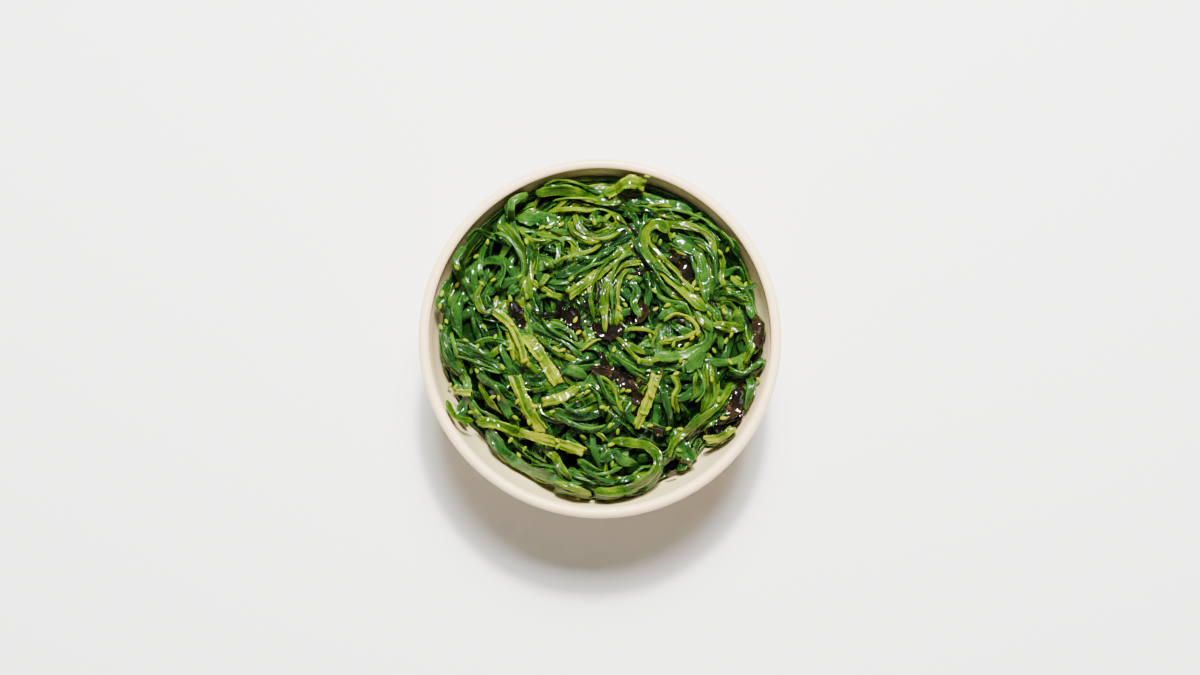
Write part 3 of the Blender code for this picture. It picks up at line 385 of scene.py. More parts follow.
@dataclass(frozen=True)
class BowlShape:
    """The bowl's sizes in mm, and its surfaces by formula."""

    rim_radius: float = 65.0
    height: float = 52.0
    rim_width: float = 3.8
    floor_top: float = 7.0
    floor_underside: float = 3.5
    foot_radius: float = 33.5
    foot_inner_radius: float = 29.0
    foot_edge: float = 0.8
    squareness: float = 2.4
    groove: float = 0.80
    groove_below: float = 2.3
    groove_length: float = 1.5
    sides: int = 192
    outer_points: int = 34
    rim_points: int = 18
    inner_points: int = 44

    @property
    def rim_plane(self) -> float:
        """Height of the middle of the rim's round edge."""
        return self.height - self.rim_width / 2

    @property
    def inner_radius(self) -> float:
        """Radius of the mouth."""
        return self.rim_radius - self.rim_width

    @property
    def inner_depth(self) -> float:
        """Depth of the inside under the rim's middle."""
        return self.rim_plane - self.floor_top

    @property
    def outer_depth(self) -> float:
        """Depth of the outer wall's curve under the rim's middle."""
        return self.rim_plane - self.floor_underside

    def wall_height(self, radius: np.ndarray, outer: float, depth: float) -> np.ndarray:
        """Height of a wall at a distance from the axis, as a superellipse that is upright at the rim."""
        share = np.clip(np.asarray(radius, float) / outer, 0.0, 1.0)
        return self.rim_plane - depth * np.sqrt(1.0 - share**self.squareness)

    def wall_radius(self, height: np.ndarray, outer: float, depth: float) -> np.ndarray:
        """Distance of a wall from the axis at a height, the inverse of wall_height."""
        share = (self.rim_plane - np.asarray(height, float)) / depth
        return outer * (1.0 - share * share) ** (1.0 / self.squareness)

    def profile(self) -> np.ndarray:
        """The half section from the axis under the floor, over the rim, to the axis above the floor.

        The outer wall is a superellipse down to the foot ring, the rim a half circle, and the inner wall
        a superellipse with a groove, a bell curve of the height, over which the rim's bead hangs a little.

        Returns:
            Points of radius and height, of shape (n, 2).
        """
        foot_top = float(self.wall_height(self.foot_radius, self.rim_radius, self.outer_depth))
        at_axis = 0.01
        corner = np.linspace(0.0, math.pi / 2, 6)
        edge = self.foot_edge
        foot = [(at_axis, self.floor_underside), (self.foot_inner_radius - 1.4, self.floor_underside)]
        foot += [(self.foot_inner_radius - 0.4, self.floor_underside - 0.4)]
        foot += [(self.foot_inner_radius + edge - edge * math.cos(a), edge - edge * math.sin(a))
                 for a in corner]
        foot += [(self.foot_radius - edge + edge * math.sin(a), edge - edge * math.cos(a)) for a in corner]
        foot += [(self.foot_radius, foot_top - 0.9), (self.foot_radius + 0.25, foot_top - 0.25)]
        outer_z = np.linspace(foot_top + 0.35, self.rim_plane, self.outer_points)
        outer = rows(self.wall_radius(outer_z, self.rim_radius, self.outer_depth), outer_z)
        angle = np.linspace(0.0, math.pi, self.rim_points)[1:-1]
        middle, across = self.rim_radius - self.rim_width / 2, self.rim_width / 2
        rim = rows(middle + across * np.cos(angle), self.rim_plane + across * np.sin(angle))
        quarter = np.linspace(0.0, math.pi / 2, self.inner_points)
        inner_z = self.rim_plane - self.inner_depth * np.sin(quarter) ** 1.3
        inner_r = self.wall_radius(inner_z, self.inner_radius, self.inner_depth)
        below = self.rim_plane - self.groove_below - inner_z
        groove = self.groove * np.exp(-((below / self.groove_length) ** 2))
        inner = rows(np.maximum(inner_r + groove, at_axis), inner_z)
        return np.concatenate([np.array(foot), outer, rim, inner])


BOWL = BowlShape()


@dataclass(frozen=True)
class Heap:
    """The dome that the salad fills, in mm. It meets the wall at its edge, and has hollows in its top."""

    bowl: BowlShape
    top: float = 48.0
    power: float = 3.2
    core_depth: float = 3.3
    gap: float = 0.32
    swell: float = 0.8
    swell_lengths: tuple = (9.0, 8.0)
    edge_angles: tuple = (
        1, 46, 90, 134, 158, 178, 193, 208, 218, 228, 238, 249, 256, 265, 275, 285, 296, 306, 317, 322,
        332, 347,
    )
    edge_radii: tuple = (
        59.8, 58.6, 59.6, 59.3, 58.4, 57.9, 58.8, 57.8, 54.9, 54.2, 53.5, 53.3, 54.8, 58.0, 58.3, 58.0, 55.4,
        56.0, 54.0, 57.1, 57.8, 58.5,
    )
    hollows: tuple = (
        (-11, 28, 6, 2.6), (-9, 6, 8, 2.4), (7, 9, 6, 1.8), (28, 26, 5, 1.8), (9, -18, 6, 2.0),
        (-30, 9, 5, 1.6), (14, -33, 4, 1.5),
    )
    view_y: float = -82.6
    view_z: float = 641.0

    def edge(self, x: np.ndarray, y: np.ndarray) -> np.ndarray:
        """Distance from the axis at which the heap meets the wall, in the direction of each place."""
        angle = np.degrees(np.arctan2(y, x)) % 360.0
        return np.interp(angle, self.edge_angles, self.edge_radii, period=360.0)

    def height(self, x: np.ndarray, y: np.ndarray) -> np.ndarray:
        """Top of the tangled bed.

        It sinks to the wall with a power of the distance from the axis, swells by a product of sines, and
        each hollow takes a bell curve of its depth away.

        Args:
            x: plan places.
            y: plan places.

        Returns:
            The height at each place.
        """
        edge = self.edge(x, y)
        drop = self.top - self.bowl.wall_height(edge, self.bowl.inner_radius, self.bowl.inner_depth)
        height = self.top - drop * np.minimum(np.hypot(x, y) / edge, 1.1) ** self.power
        first, second = self.swell_lengths
        height = height + self.swell * np.sin(x / first + 1.0) * np.cos(y / second)
        for centre_x, centre_y, radius, depth in self.hollows:
            height = height - depth * np.exp(-((x - centre_x) ** 2 + (y - centre_y) ** 2) / radius**2)
        return height

    def plan_of_seen(self, points: tuple | np.ndarray) -> np.ndarray:
        """Plan places of points that are seen on the rim's plane but lie on the heap.

        Each point slides along its line of sight until it is at the heap's height.

        Args:
            points: plan places as seen on the rim's plane.

        Returns:
            Plan points of shape (n, 2).
        """
        seen = np.asarray(points, float)
        eye = np.array([0.0, self.view_y])
        plan = seen
        for _ in range(3):
            height = self.height(plan[:, 0], plan[:, 1])[:, None]
            plan = eye + (seen - eye) * (self.view_z - height) / (self.view_z - self.bowl.rim_plane)
        return plan

    def floor(self, x: np.ndarray, y: np.ndarray, gap: float | None = None) -> np.ndarray:
        """Lowest height at which something can lie in the bowl, a gap away from its wall.

        Args:
            x: plan places.
            y: plan places.
            gap: the gap, or None for the source's own.

        Returns:
            The height at each place.
        """
        gap = self.gap if gap is None else gap
        radius = np.hypot(x, y) + gap
        mouth = self.bowl.inner_radius
        inside = self.bowl.wall_height(np.minimum(radius, mouth), mouth, self.bowl.inner_depth) + gap
        return np.where(radius < mouth, inside, self.bowl.rim_plane)


@dataclass
class Relief:
    """The height of what lies topmost, and its owner, on a square grid seen from above."""

    height: np.ndarray
    owner: np.ndarray = field(init=False)

    def __post_init__(self) -> None:
        """Starts with nobody owning any cell."""
        self.owner = np.full(self.height.shape, int(Owner.BARE))

    @staticmethod
    def grid() -> tuple[np.ndarray, np.ndarray]:
        """The plan places of the cells' corners."""
        side = np.arange(-GRID_HALF, GRID_HALF, CELL)
        return np.meshgrid(side, side, indexing="ij")

    def cell(self, x: np.ndarray, y: np.ndarray) -> tuple[np.ndarray, np.ndarray]:
        """The grid cell of each point.

        Args:
            x: plan places.
            y: plan places.

        Returns:
            The cells' rows and columns.
        """
        last = self.height.shape[0] - 1
        i = np.clip(np.rint((x + GRID_HALF) / CELL).astype(int), 0, last)
        j = np.clip(np.rint((y + GRID_HALF) / CELL).astype(int), 0, last)
        return i, j

    def at(self, x: np.ndarray, y: np.ndarray) -> np.ndarray:
        """Height under each point, the highest of its cell and the eight round it.

        Args:
            x: plan places.
            y: plan places.

        Returns:
            The height at each place.
        """
        i, j = self.cell(x, y)
        last = self.height.shape[0] - 1
        around = [self.height[np.clip(i + a, 0, last), np.clip(j + b, 0, last)]
                  for a in (-1, 0, 1) for b in (-1, 0, 1)]
        return np.max(around, axis=0)

    def raise_to(self, x: np.ndarray, y: np.ndarray, z: np.ndarray, owner: Owner) -> None:
        """Lifts the relief to z at each point where that is higher, and gives that cell to the owner.

        Args:
            x: plan places.
            y: plan places.
            z: heights there.
            owner: what is laid.
        """
        i, j = self.cell(x.ravel(), y.ravel())
        before = self.height.copy()
        np.maximum.at(self.height, (i, j), z.ravel())
        self.owner[self.height > before] = int(owner)


def curve_through(points: tuple | np.ndarray) -> np.ndarray:
    """Points every PATH_STEP along a Catmull-Rom curve, whose spans are cubics with matched slopes.

    Args:
        points: plan points that the curve passes through.

    Returns:
        Plan points of shape (n, 2).
    """
    p = np.asarray(points, float)
    p = np.vstack([2 * p[0] - p[1], p, 2 * p[-1] - p[-2]])
    spans, fewest = 24, 5
    t = np.linspace(0, 1, spans, endpoint=False)[:, None]
    parts = []
    for a, b, c, d in zip(p, p[1:], p[2:], p[3:]):
        parts.append(0.5 * (2 * b + (c - a) * t + (2 * a - 5 * b + 4 * c - d) * t**2
                            + (3 * b - a - 3 * c + d) * t**3))
    fine = np.vstack([*parts, p[-2][None]])
    along = np.concatenate([[0], np.cumsum(np.linalg.norm(np.diff(fine, axis=0), axis=1))])
    count = max(fewest, int(round(along[-1] / PATH_STEP)) + 1)
    wanted = np.linspace(0, along[-1], count)
    return np.column_stack([np.interp(wanted, along, fine[:, k]) for k in (0, 1)])


def kept_inside(path: np.ndarray, reach: float) -> np.ndarray:
    """The plan path with each point beyond the reach drawn in to it."""
    radius = np.hypot(path[:, 0], path[:, 1])
    return path * np.minimum(1.0, reach / np.maximum(radius, 1e-6))[:, None]


def left_of(path: np.ndarray) -> np.ndarray:
    """Unit vectors to the left of a plan path.

    Args:
        path: plan points.

    Returns:
        A vector for each of them.
    """
    ahead = np.gradient(path, axis=0)
    ahead /= np.linalg.norm(ahead, axis=1)[:, None]
    return np.column_stack([-ahead[:, 1], ahead[:, 0]])


def averaged(values: np.ndarray, length: float) -> np.ndarray:
    """Moving average along a path.

    Args:
        values: a value at each of its points.
        length: the length that is averaged over, in mm.

    Returns:
        The averages, as many as the values.
    """
    reach = max(1, int(round(length / PATH_STEP / 2)))
    padded = np.pad(values, reach, mode="edge")
    return np.convolve(padded, np.ones(2 * reach + 1) / (2 * reach + 1), mode="valid")


def highest(values: np.ndarray, length: float) -> np.ndarray:
    """Moving maximum along a path.

    Args:
        values: a value at each of its points.
        length: the length that the maximum is over, in mm.

    Returns:
        The maxima, as many as the values.
    """
    reach = max(1, int(round(length / PATH_STEP / 2)))
    padded = np.pad(values, reach, mode="edge")
    return np.max([padded[k:k + len(values)] for k in range(2 * reach + 1)], axis=0)


@dataclass
class Layer:
    """How far and how stiffly strands are laid on what is under them, in mm."""

    gap: float = 0.32
    averaging: float = 2.0
    ring_step: float = 2.9
    bank_limit: float = 0.45
    reach: float = 60.2


SOURCE_LAYER = Layer()
FINE_LAYER = Layer(gap=0.04, averaging=4.0, ring_step=0.8, bank_limit=1.5, reach=60.6)
LOOSE_LAYER = Layer(gap=0.10, averaging=5.0, ring_step=1.2, bank_limit=1.2, reach=60.6)


class Blade:
    """A strand as it lies: its path seen from above, its width, and the height and tilt of its underside."""

    wave_share = 0.10
    wave_length = 11.0
    tip_share = 0.35
    wall_gap = 0.15

    def __init__(self, points: np.ndarray, width: float, thickness: float, square: bool,
                 layer: Layer) -> None:
        """Works out the middle line and the width along it.

        The width waves as a sine, and narrows to the ends with the root of the nearness to them.

        Args:
            points: plan points that the strand passes through.
            width: its width.
            thickness: its thickness.
            square: whether its ends are cut square.
            layer: how it is laid.
        """
        self.layer = layer
        self.path = kept_inside(curve_through(points), layer.reach - 0.55 * width)
        self.left = left_of(self.path)
        self.thickness = thickness
        station = np.linspace(0, 1, len(self.path))
        self.length = len(self.path) * PATH_STEP
        turns = FULL_TURN * station * self.length / self.wave_length
        wave = 1.0 + self.wave_share * np.sin(turns + points[0][0])
        ends = np.ones_like(station)
        if not square:
            from_end = np.minimum(station, 1 - station) * self.length
            rise = np.sqrt(np.clip(from_end / (0.9 * width), 0, 1))
            ends = self.tip_share + (1.0 - self.tip_share) * rise
        self.half_width = 0.5 * width * wave * ends
        self.bank = np.zeros(len(self.path))
        self.underside = np.zeros(len(self.path))

    def across(self, lateral: np.ndarray, spread: float = 0.0) -> tuple[np.ndarray, np.ndarray, np.ndarray]:
        """Plan places across the blade.

        Args:
            lateral: shares of the half width, from -1 to 1.
            spread: how far past the half width a share of 1 lies.

        Returns:
            The places' x and y, and how far each is to the left of the middle line.
        """
        offset = (self.half_width + spread)[:, None] * lateral
        x = self.path[:, :1] + self.left[:, :1] * offset
        y = self.path[:, 1:] + self.left[:, 1:] * offset
        return x, y, offset

    def hang_in_heap(self, heap: Heap, depth: float, start: float, weave: float, wave: float,
                     ring: float) -> None:
        """Puts the blade just under the heap's top, rising and dipping as a sine along its length.

        Args:
            heap: the heap.
            depth: how far under its top.
            start: where the sine starts.
            weave: the sine's height.
            wave: the sine's length.
            ring: the spacing of the source's rings.
        """
        x, y = self.path.T
        step = 0.5
        aside = self.path + step * self.left
        self.bank = (heap.height(*aside.T) - heap.height(x, y)) / step
        along = np.arange(len(x)) * PATH_STEP
        rise = weave * np.sin(FULL_TURN * along / wave + start)
        u, v, offset = self.across(np.array([-1.0, 0.0, 1.0]), self.layer.gap)
        wall = (heap.floor(u, v) - self.bank[:, None] * offset).max(axis=1)
        free = heap.height(x, y) - depth + rise - self.thickness
        self.underside = averaged(np.maximum(free, highest(wall, 2 * ring)), self.layer.averaging)

    def rest_on(self, relief: Relief, heap: "Heap | None" = None) -> None:
        """Finds the tilt and the height of the underside that clear all that lies under the blade.

        The tilt is the slope of the best straight line through the heights across the blade. The height
        is their highest above that line, smoothed by a moving maximum and then a moving average. Where
        the heap is given, the smoothing is done on heights above its slope, which the blade then follows.

        Args:
            relief: what lies there already.
            heap: the heap whose slope the blade follows.
        """
        layer = self.layer
        x, y, offset = self.across(np.linspace(-1, 1, 9), layer.gap)
        under = relief.at(x, y)
        slope = (under * offset).sum(axis=1) / (offset * offset).sum(axis=1)
        self.bank = averaged(np.clip(slope, -layer.bank_limit, layer.bank_limit), 2 * layer.averaging)
        needed = (under - self.bank[:, None] * offset).max(axis=1)
        slope_height = heap.height(*self.path.T) if heap else 0.0
        window = layer.averaging + 2 * layer.ring_step
        self.underside = averaged(highest(needed - slope_height, window), layer.averaging) + layer.gap
        self.underside = self.underside + slope_height

    def dive(self, depth: float, length: float) -> None:
        """Lets both ends sink, with the square of the nearness to the end.

        Args:
            depth: how far the ends sink.
            length: how far from its end the blade starts to sink.
        """
        along = np.arange(len(self.path)) * PATH_STEP
        from_end = np.minimum(along, along[-1] - along)
        self.underside = self.underside - depth * np.clip(1.0 - from_end / length, 0.0, 1.0) ** 2
        x, y, offset = self.across(np.array([-1.0, 0.0, 1.0]))
        self.underside = np.maximum(self.underside, self.floor_under(x, y, offset))

    def floor_under(self, x: np.ndarray, y: np.ndarray, offset: np.ndarray) -> np.ndarray:
        """The lowest height of the underside that keeps clear of the bowl's wall.

        Args:
            x: plan places across the blade.
            y: plan places across the blade.
            offset: how far each is to the left of the middle line.

        Returns:
            A height for each point of the path.
        """
        radius = np.minimum(np.hypot(x, y) + 0.2, BOWL.inner_radius)
        wall = BOWL.wall_height(radius, BOWL.inner_radius, BOWL.inner_depth) + self.wall_gap
        return (wall - self.bank[:, None] * offset).max(axis=1)

    def stay_under(self, ceiling: Relief) -> None:
        """Lowers the blade where it would come through what lies above it.

        Args:
            ceiling: the undersides of what lies above, with their signs turned.
        """
        x, y, offset = self.across(np.linspace(-1, 1, 7), 0.2)
        room = (-ceiling.at(x, y) - self.bank[:, None] * offset).min(axis=1) - self.thickness - 0.1
        room = -averaged(highest(-room, 5.0), 4.0)
        self.underside = np.minimum(self.underside, room)
        self.underside = np.maximum(self.underside, self.floor_under(x, y, offset))

    def surface(self, lateral: np.ndarray, top: float) -> tuple[np.ndarray, np.ndarray, np.ndarray]:
        """Points on a face of the blade, of which the upper one is crowned by a parabola.

        Args:
            lateral: shares of the half width, from -1 to 1.
            top: 0 for the underside, 1 for the upper face.

        Returns:
            The points' x, y and z.
        """
        x, y, offset = self.across(lateral)
        crown = 0.55 + 0.45 * (1 - lateral**2)
        return x, y, self.underside[:, None] + self.bank[:, None] * offset + top * self.thickness * crown

    def part(self, shift: np.ndarray, share: float, lift: np.ndarray) -> "Blade":
        """One of the narrower strands of a bundle that fills the blade's place.

        Args:
            shift: how far it lies to the left of the middle line, at each of its points.
            share: its share of the blade's width.
            lift: how far it is raised, at each point.

        Returns:
            The narrower strand.
        """
        made = copy(self)
        made.path = self.path + self.left * shift[:, None]
        made.half_width = self.half_width * share
        made.underside = self.underside + self.bank * shift + lift
        made.thickness = self.thickness * (0.55 + 0.45 * share)
        return made

    def add_to(self, relief: Relief, owner: Owner) -> None:
        """Adds the blade's upper face to the relief."""
        lateral = np.arange(-1.0, 1.01, CELL / (2 * self.half_width.max()))
        relief.raise_to(*self.surface(lateral, 1.0), owner)


@dataclass
class SourceBed:
    """The tangled bed of the source, laid by the same rule and draws, so that its relief is the same."""

    heap: Heap
    count: int = 50
    seed: int = 7
    choices: int = 40
    width: tuple = (3.8, 5.6)
    length: tuple = (22.0, 38.0)
    thickness: float = 2.8
    depth: tuple = (0.0, 1.8)
    weave: float = 0.7
    weave_length: float = 17.0
    ring_step: float = 5.8

    def lay(self, relief: Relief) -> None:
        """Lays the bed's strands.

        Args:
            relief: what lies there already, which is raised.
        """
        draw = np.random.default_rng(self.seed)
        for _ in range(self.count):
            width = draw.uniform(*self.width)
            blade = Blade(self.barest(relief, draw, width), width, self.thickness, False, SOURCE_LAYER)
            depth, start = draw.uniform(*self.depth), draw.uniform(0, FULL_TURN)
            blade.hang_in_heap(self.heap, depth, start, self.weave, self.weave_length, self.ring_step)
            blade.add_to(relief, Owner.BED)

    def barest(self, relief: Relief, draw: np.random.Generator, width: float) -> np.ndarray:
        """The one of several random paths with the most of its length over the bare core.

        Args:
            relief: what lies there already.
            draw: the random draws.
            width: the strand's width.

        Returns:
            Plan points.
        """
        paths = [self.wandering(relief, draw, width) for _ in range(self.choices)]
        bare = [(relief.owner[relief.cell(*curve_through(path).T)] == Owner.BARE).sum() for path in paths]
        return paths[int(np.argmax(bare))]

    def wandering(self, relief: Relief, draw: np.random.Generator, width: float) -> np.ndarray:
        """A random path that mostly runs round the bowl and turns gently, both ways from a bare place.

        Args:
            relief: what lies there already.
            draw: the random draws.
            width: the strand's width.

        Returns:
            Plan points.
        """
        reach, step, wobble = 57.0, 4.0, 0.10
        inset = 0.6 * width - 0.6
        for _ in range(12):
            angle, radius = draw.uniform(0, FULL_TURN), reach * math.sqrt(draw.uniform(0.01, 1.0))
            start = radius * np.array([math.cos(angle), math.sin(angle)])
            if relief.owner[relief.cell(*start)] == Owner.BARE:
                break
        bend = draw.normal(0, wobble)
        heading = angle + math.pi / 2 + draw.normal(0, 0.6)
        count = int(draw.uniform(*self.length) / step)
        forward = int(count * draw.uniform(0.3, 0.7))
        halves = []
        for steps, way in ((count - forward, -1.0), (forward, 1.0)):
            place, half = start, []
            ahead = way * np.array([math.cos(heading), math.sin(heading)])
            for _ in range(steps):
                turn = way * bend + draw.normal(0, wobble)
                place, ahead = step_on(self.heap, place, ahead, turn, step, inset)
                half.append(place)
            halves.append(half)
        path = np.array([*halves[0][::-1], start, *halves[1]])
        return kept_inside(path, self.heap.edge(*path.T) - inset)


def step_on(
    heap: Heap, place: np.ndarray, ahead: np.ndarray, turn: float, step: float, inset: float
) -> tuple[np.ndarray, np.ndarray]:
    """One step of a wandering path: it turns a little, and follows the wall where it would leave the heap.

    Args:
        heap: the heap, with its edge.
        place: where the path is.
        ahead: its unit direction.
        turn: how far it turns, in radians.
        step: how far it goes.
        inset: how far inside the heap's edge it stays.

    Returns:
        The next place and the next direction.
    """
    ahead = np.array([ahead[0] - turn * ahead[1], ahead[1] + turn * ahead[0]])
    ahead /= np.hypot(*ahead)
    if np.hypot(*(place + step * ahead)) > heap.edge(*(place + step * ahead)) - inset:
        along = np.array([-place[1], place[0]]) / np.hypot(*place)
        ahead = along if along @ ahead > 0 else -along
    return place + step * ahead, ahead


@dataclass(frozen=True)
class Form:
    """How a strand's section and surface are shaped. Lengths are in mm, and angles in radians."""

    around: int = 14
    step: float = 0.7
    flatness: float = 0.85
    fullness: float = 0.85
    thin: float = 1.0
    ridge: float = 0.16
    roll: float = 0.25
    roll_length: float = 24.0
    curl: tuple = (-0.10, 0.40)
    curl_length: float = 19.0
    ruffle: float = 0.22
    ruffle_length: float = 6.5
    grain: float = 0.03
    nibble: float = 0.05
    ridges: float = 1.1
    taper: float = 2.5
    droop: float = 0.7
    jag: float = 0.0
    square: bool = False


FROND_FORM = Form(around=28, step=0.5, thin=0.85, ridge=0.30, ridges=1.6, roll=0.35, grain=0.012, nibble=0.02)
LEAF_FORM = Form(around=24, step=0.5, thin=0.75, ridge=0.18, roll=0.12, curl=(-0.12, 0.25), ruffle=0.60,
                 ruffle_length=5.5, ridges=2.2, nibble=0.09, droop=0.4)
SLICE_FORM = Form(around=26, step=0.35, flatness=0.6, thin=0.9, ridge=0.22, roll=0.09, curl=(-0.06, 0.14),
                  ruffle=0.16, ruffle_length=3.1, nibble=0.045, ridges=2.2, droop=0.0, jag=0.7, square=True)
EAR_FORM = Form(around=26, step=0.4, thin=0.7, ridge=0.04, roll=0.40, roll_length=15.0, curl=(0.15, 0.60),
                ruffle=0.50, ruffle_length=6.3, grain=0.015, nibble=0.07)
FILL_FORM = Form(around=10, step=1.05, ridge=0.30, roll=0.60, roll_length=20.0, curl=(-0.25, 0.45),
                 grain=0.015)
DEEP_FORM = Form(around=6, step=1.5, ridge=0.0, roll=0.4, curl=(0.0, 0.2), ruffle=0.0, grain=0.0)
LOOSE_FORM = Form(around=10, step=0.7, ridge=0.15, roll=0.5, roll_length=15.0, curl=(-0.1, 0.3))


# The waves of a strand's surface, with their lengths in mm. The nibbles of its edges have a share, a length
# and a lead. The swells of its skin have a length, their turns round the section, and a phase's number.
NIBBLES = ((1.0, 3.4, 1), (0.7, 1.9, 2), (0.4, 1.3, 3))
SWELLS = ((2.3, 1, 4), (3.7, -2, 5), (6.1, 2, 6), (1.6, -1, 7))
PHASE_COUNT = 14


class Spine(NamedTuple):
    """A strand's middle line at the rings of its grid: distances, half widths, points and directions."""

    s: np.ndarray
    from_end: np.ndarray
    half: np.ndarray
    middle: np.ndarray
    ahead: np.ndarray
    left: np.ndarray
    up: np.ndarray


def spine_of(blade: Blade, form: Form) -> Spine:
    """The middle line of a strand at even steps. Its ends droop with the square of the nearness to them.

    Args:
        blade: the strand as it lies.
        form: its section and surface.

    Returns:
        The spine, whose three directions are square to each other.
    """
    count = max(6, int(round(blade.length / form.step)) + 1)
    at = np.linspace(0, len(blade.path) - 1, count)
    known = np.arange(len(blade.path))
    x, y = (np.interp(at, known, blade.path[:, k]) for k in (0, 1))
    aside_x, aside_y = (np.interp(at, known, blade.left[:, k]) for k in (0, 1))
    bank, underside, half = (np.interp(at, known, v) for v in (blade.bank, blade.underside, blade.half_width))
    s = np.linspace(0, blade.length, count)
    from_end = np.minimum(s, s[-1] - s)
    sunk = form.droop * (1.0 - np.clip(from_end / (2.0 * form.taper), 0.0, 1.0)) ** 2
    middle = rows(x, y, underside + 0.5 * blade.thickness - sunk)
    ahead = unit(np.gradient(middle, axis=0))
    left = rows(aside_x, aside_y, bank)
    left = unit(left - (left * ahead).sum(axis=1, keepdims=True) * ahead)
    return Spine(s, from_end, half, middle, ahead, left, np.cross(ahead, left))


def swept(blade: Blade, form: Form, tone: float, draw: np.random.Generator) -> Surface:
    """The closed surface of a strand, as a section carried along its path.

    The section is a flattened superellipse with ridges, as a cosine of its width, that wander along it.
    It is bent by a parabola across it, so that its edges curl, its edges ruffle as a sine that differs
    left and right, and it rolls slowly to and fro about the path. A sum of sines along and around it
    gives its skin a fine uneven swell, and another nibbles its edges. A cut end is jagged by two sines.

    Args:
        blade: the strand as it lies.
        form: its section and surface.
        tone: its colour's place between the finish's deep and light colours.
        draw: the random draws.

    Returns:
        The strand's grid.
    """
    spine = spine_of(blade, form)
    s, along = spine.s, spine.s[:, None]
    theta = FULL_TURN * np.arange(form.around) / form.around
    a = np.sign(np.cos(theta)) * np.abs(np.cos(theta)) ** form.flatness
    b = np.sign(np.sin(theta)) * np.abs(np.sin(theta)) ** form.fullness
    phase = draw.uniform(0, FULL_TURN, PHASE_COUNT)
    low, high = form.curl
    curl = low + (high - low) * (0.5 + 0.5 * np.sin(FULL_TURN * s / form.curl_length + phase[0]))[:, None]
    ruffle_left = np.sin(FULL_TURN * s / form.ruffle_length + phase[1])[:, None]
    ruffle_right = np.sin(FULL_TURN * s / (1.17 * form.ruffle_length) + phase[2])[:, None]
    ruffle = form.ruffle * np.abs(a) ** 2.2 * np.where(a > 0, ruffle_left, ruffle_right)
    lead = np.where(a > 0, phase[3], phase[10])
    nibble = 1.0 + form.nibble * sum(
        share * np.sin(FULL_TURN * along / length + turns * lead) for share, length, turns in NIBBLES
    ) * np.abs(a)
    swell = sum(
        np.sin(FULL_TURN * along / length + turns * theta + phase[k]) for length, turns, k in SWELLS
    ) * form.grain
    ends = np.clip(spine.from_end / (0.25 if form.square else 0.9), 0, 1)[:, None]
    ends = np.sqrt(0.12 + 0.88 * ends)
    tip = 1.0 - np.clip(spine.from_end / form.taper, 0.0, 1.0)
    slim = 1.0 if form.square else ends * (1.0 - 0.25 * tip[:, None])
    wander = 1.5 * np.sin(s / 7.0 + phase[9])[:, None]
    ridges = 1.0 + form.ridge * np.cos(2.0 * form.ridges * math.pi * a + wander)
    wide = spine.half[:, None] * a * nibble * slim
    tall = (0.5 * form.thin * blade.thickness * ridges + swell) * b * ends
    tall = tall + curl * spine.half[:, None] * (a * a - 0.4) + ruffle
    roll = form.roll * np.sin(FULL_TURN * s / form.roll_length + phase[8])[:, None]
    wide, tall = wide * np.cos(roll) - tall * np.sin(roll), wide * np.sin(roll) + tall * np.cos(roll)
    points = spine.middle[:, None] + wide[..., None] * spine.left[:, None]
    points = points + tall[..., None] * spine.up[:, None]
    jag = np.sin(3.1 * a + phase[11]) + 0.6 * np.sin(8.3 * a + phase[12])
    lag = form.jag * jag * np.clip(1.0 - spine.from_end / 2.5, 0.0, 1.0)[:, None]
    points = points + lag[..., None] * spine.ahead[:, None]
    points = off_wall(points, 0.12 + (0.5 + 0.5 * b) * form.thin * blade.thickness)
    # Nearness to the strand's edge, which the finish lightens as a painted glow.
    edge = np.broadcast_to(np.abs(a) ** 3, points.shape[:2])
    return Surface(points, tone, edge)


def off_wall(points: np.ndarray, gap: np.ndarray) -> np.ndarray:
    """Points moved along the normal of the bowl's inner wall to where they are a gap away from it.

    A point's distance from the wall is its height above it times the cosine of the wall's slope there.

    Args:
        points: points of any shape (..., 3), in mm.
        gap: the least distance of each point.

    Returns:
        The points, of which only those nearer than the gap have moved.
    """
    mouth, depth, step, furthest = BOWL.inner_radius, BOWL.inner_depth, 0.02, 3.0
    for _ in range(2):
        radius = np.hypot(points[..., 0], points[..., 1])
        inside = np.minimum(radius, mouth - 0.05)
        wall = BOWL.wall_height(inside, mouth, depth)
        slope = (wall - BOWL.wall_height(inside - step, mouth, depth)) / step
        cosine = 1.0 / np.sqrt(1.0 + slope * slope)
        short = np.clip(gap - (points[..., 2] - wall) * cosine, 0.0, furthest)
        inward = -points[..., :2] / np.maximum(radius, 1e-6)[..., None]
        sideways = inward * (short * slope * cosine)[..., None]
        points = points + np.concatenate([sideways, (short * cosine)[..., None]], axis=-1)
    return points


class Laid(NamedTuple):
    """A strand of the filling, how far its top is under the heap's top, and whether it is one of the deep."""

    blade: Blade
    room: float
    deep: bool


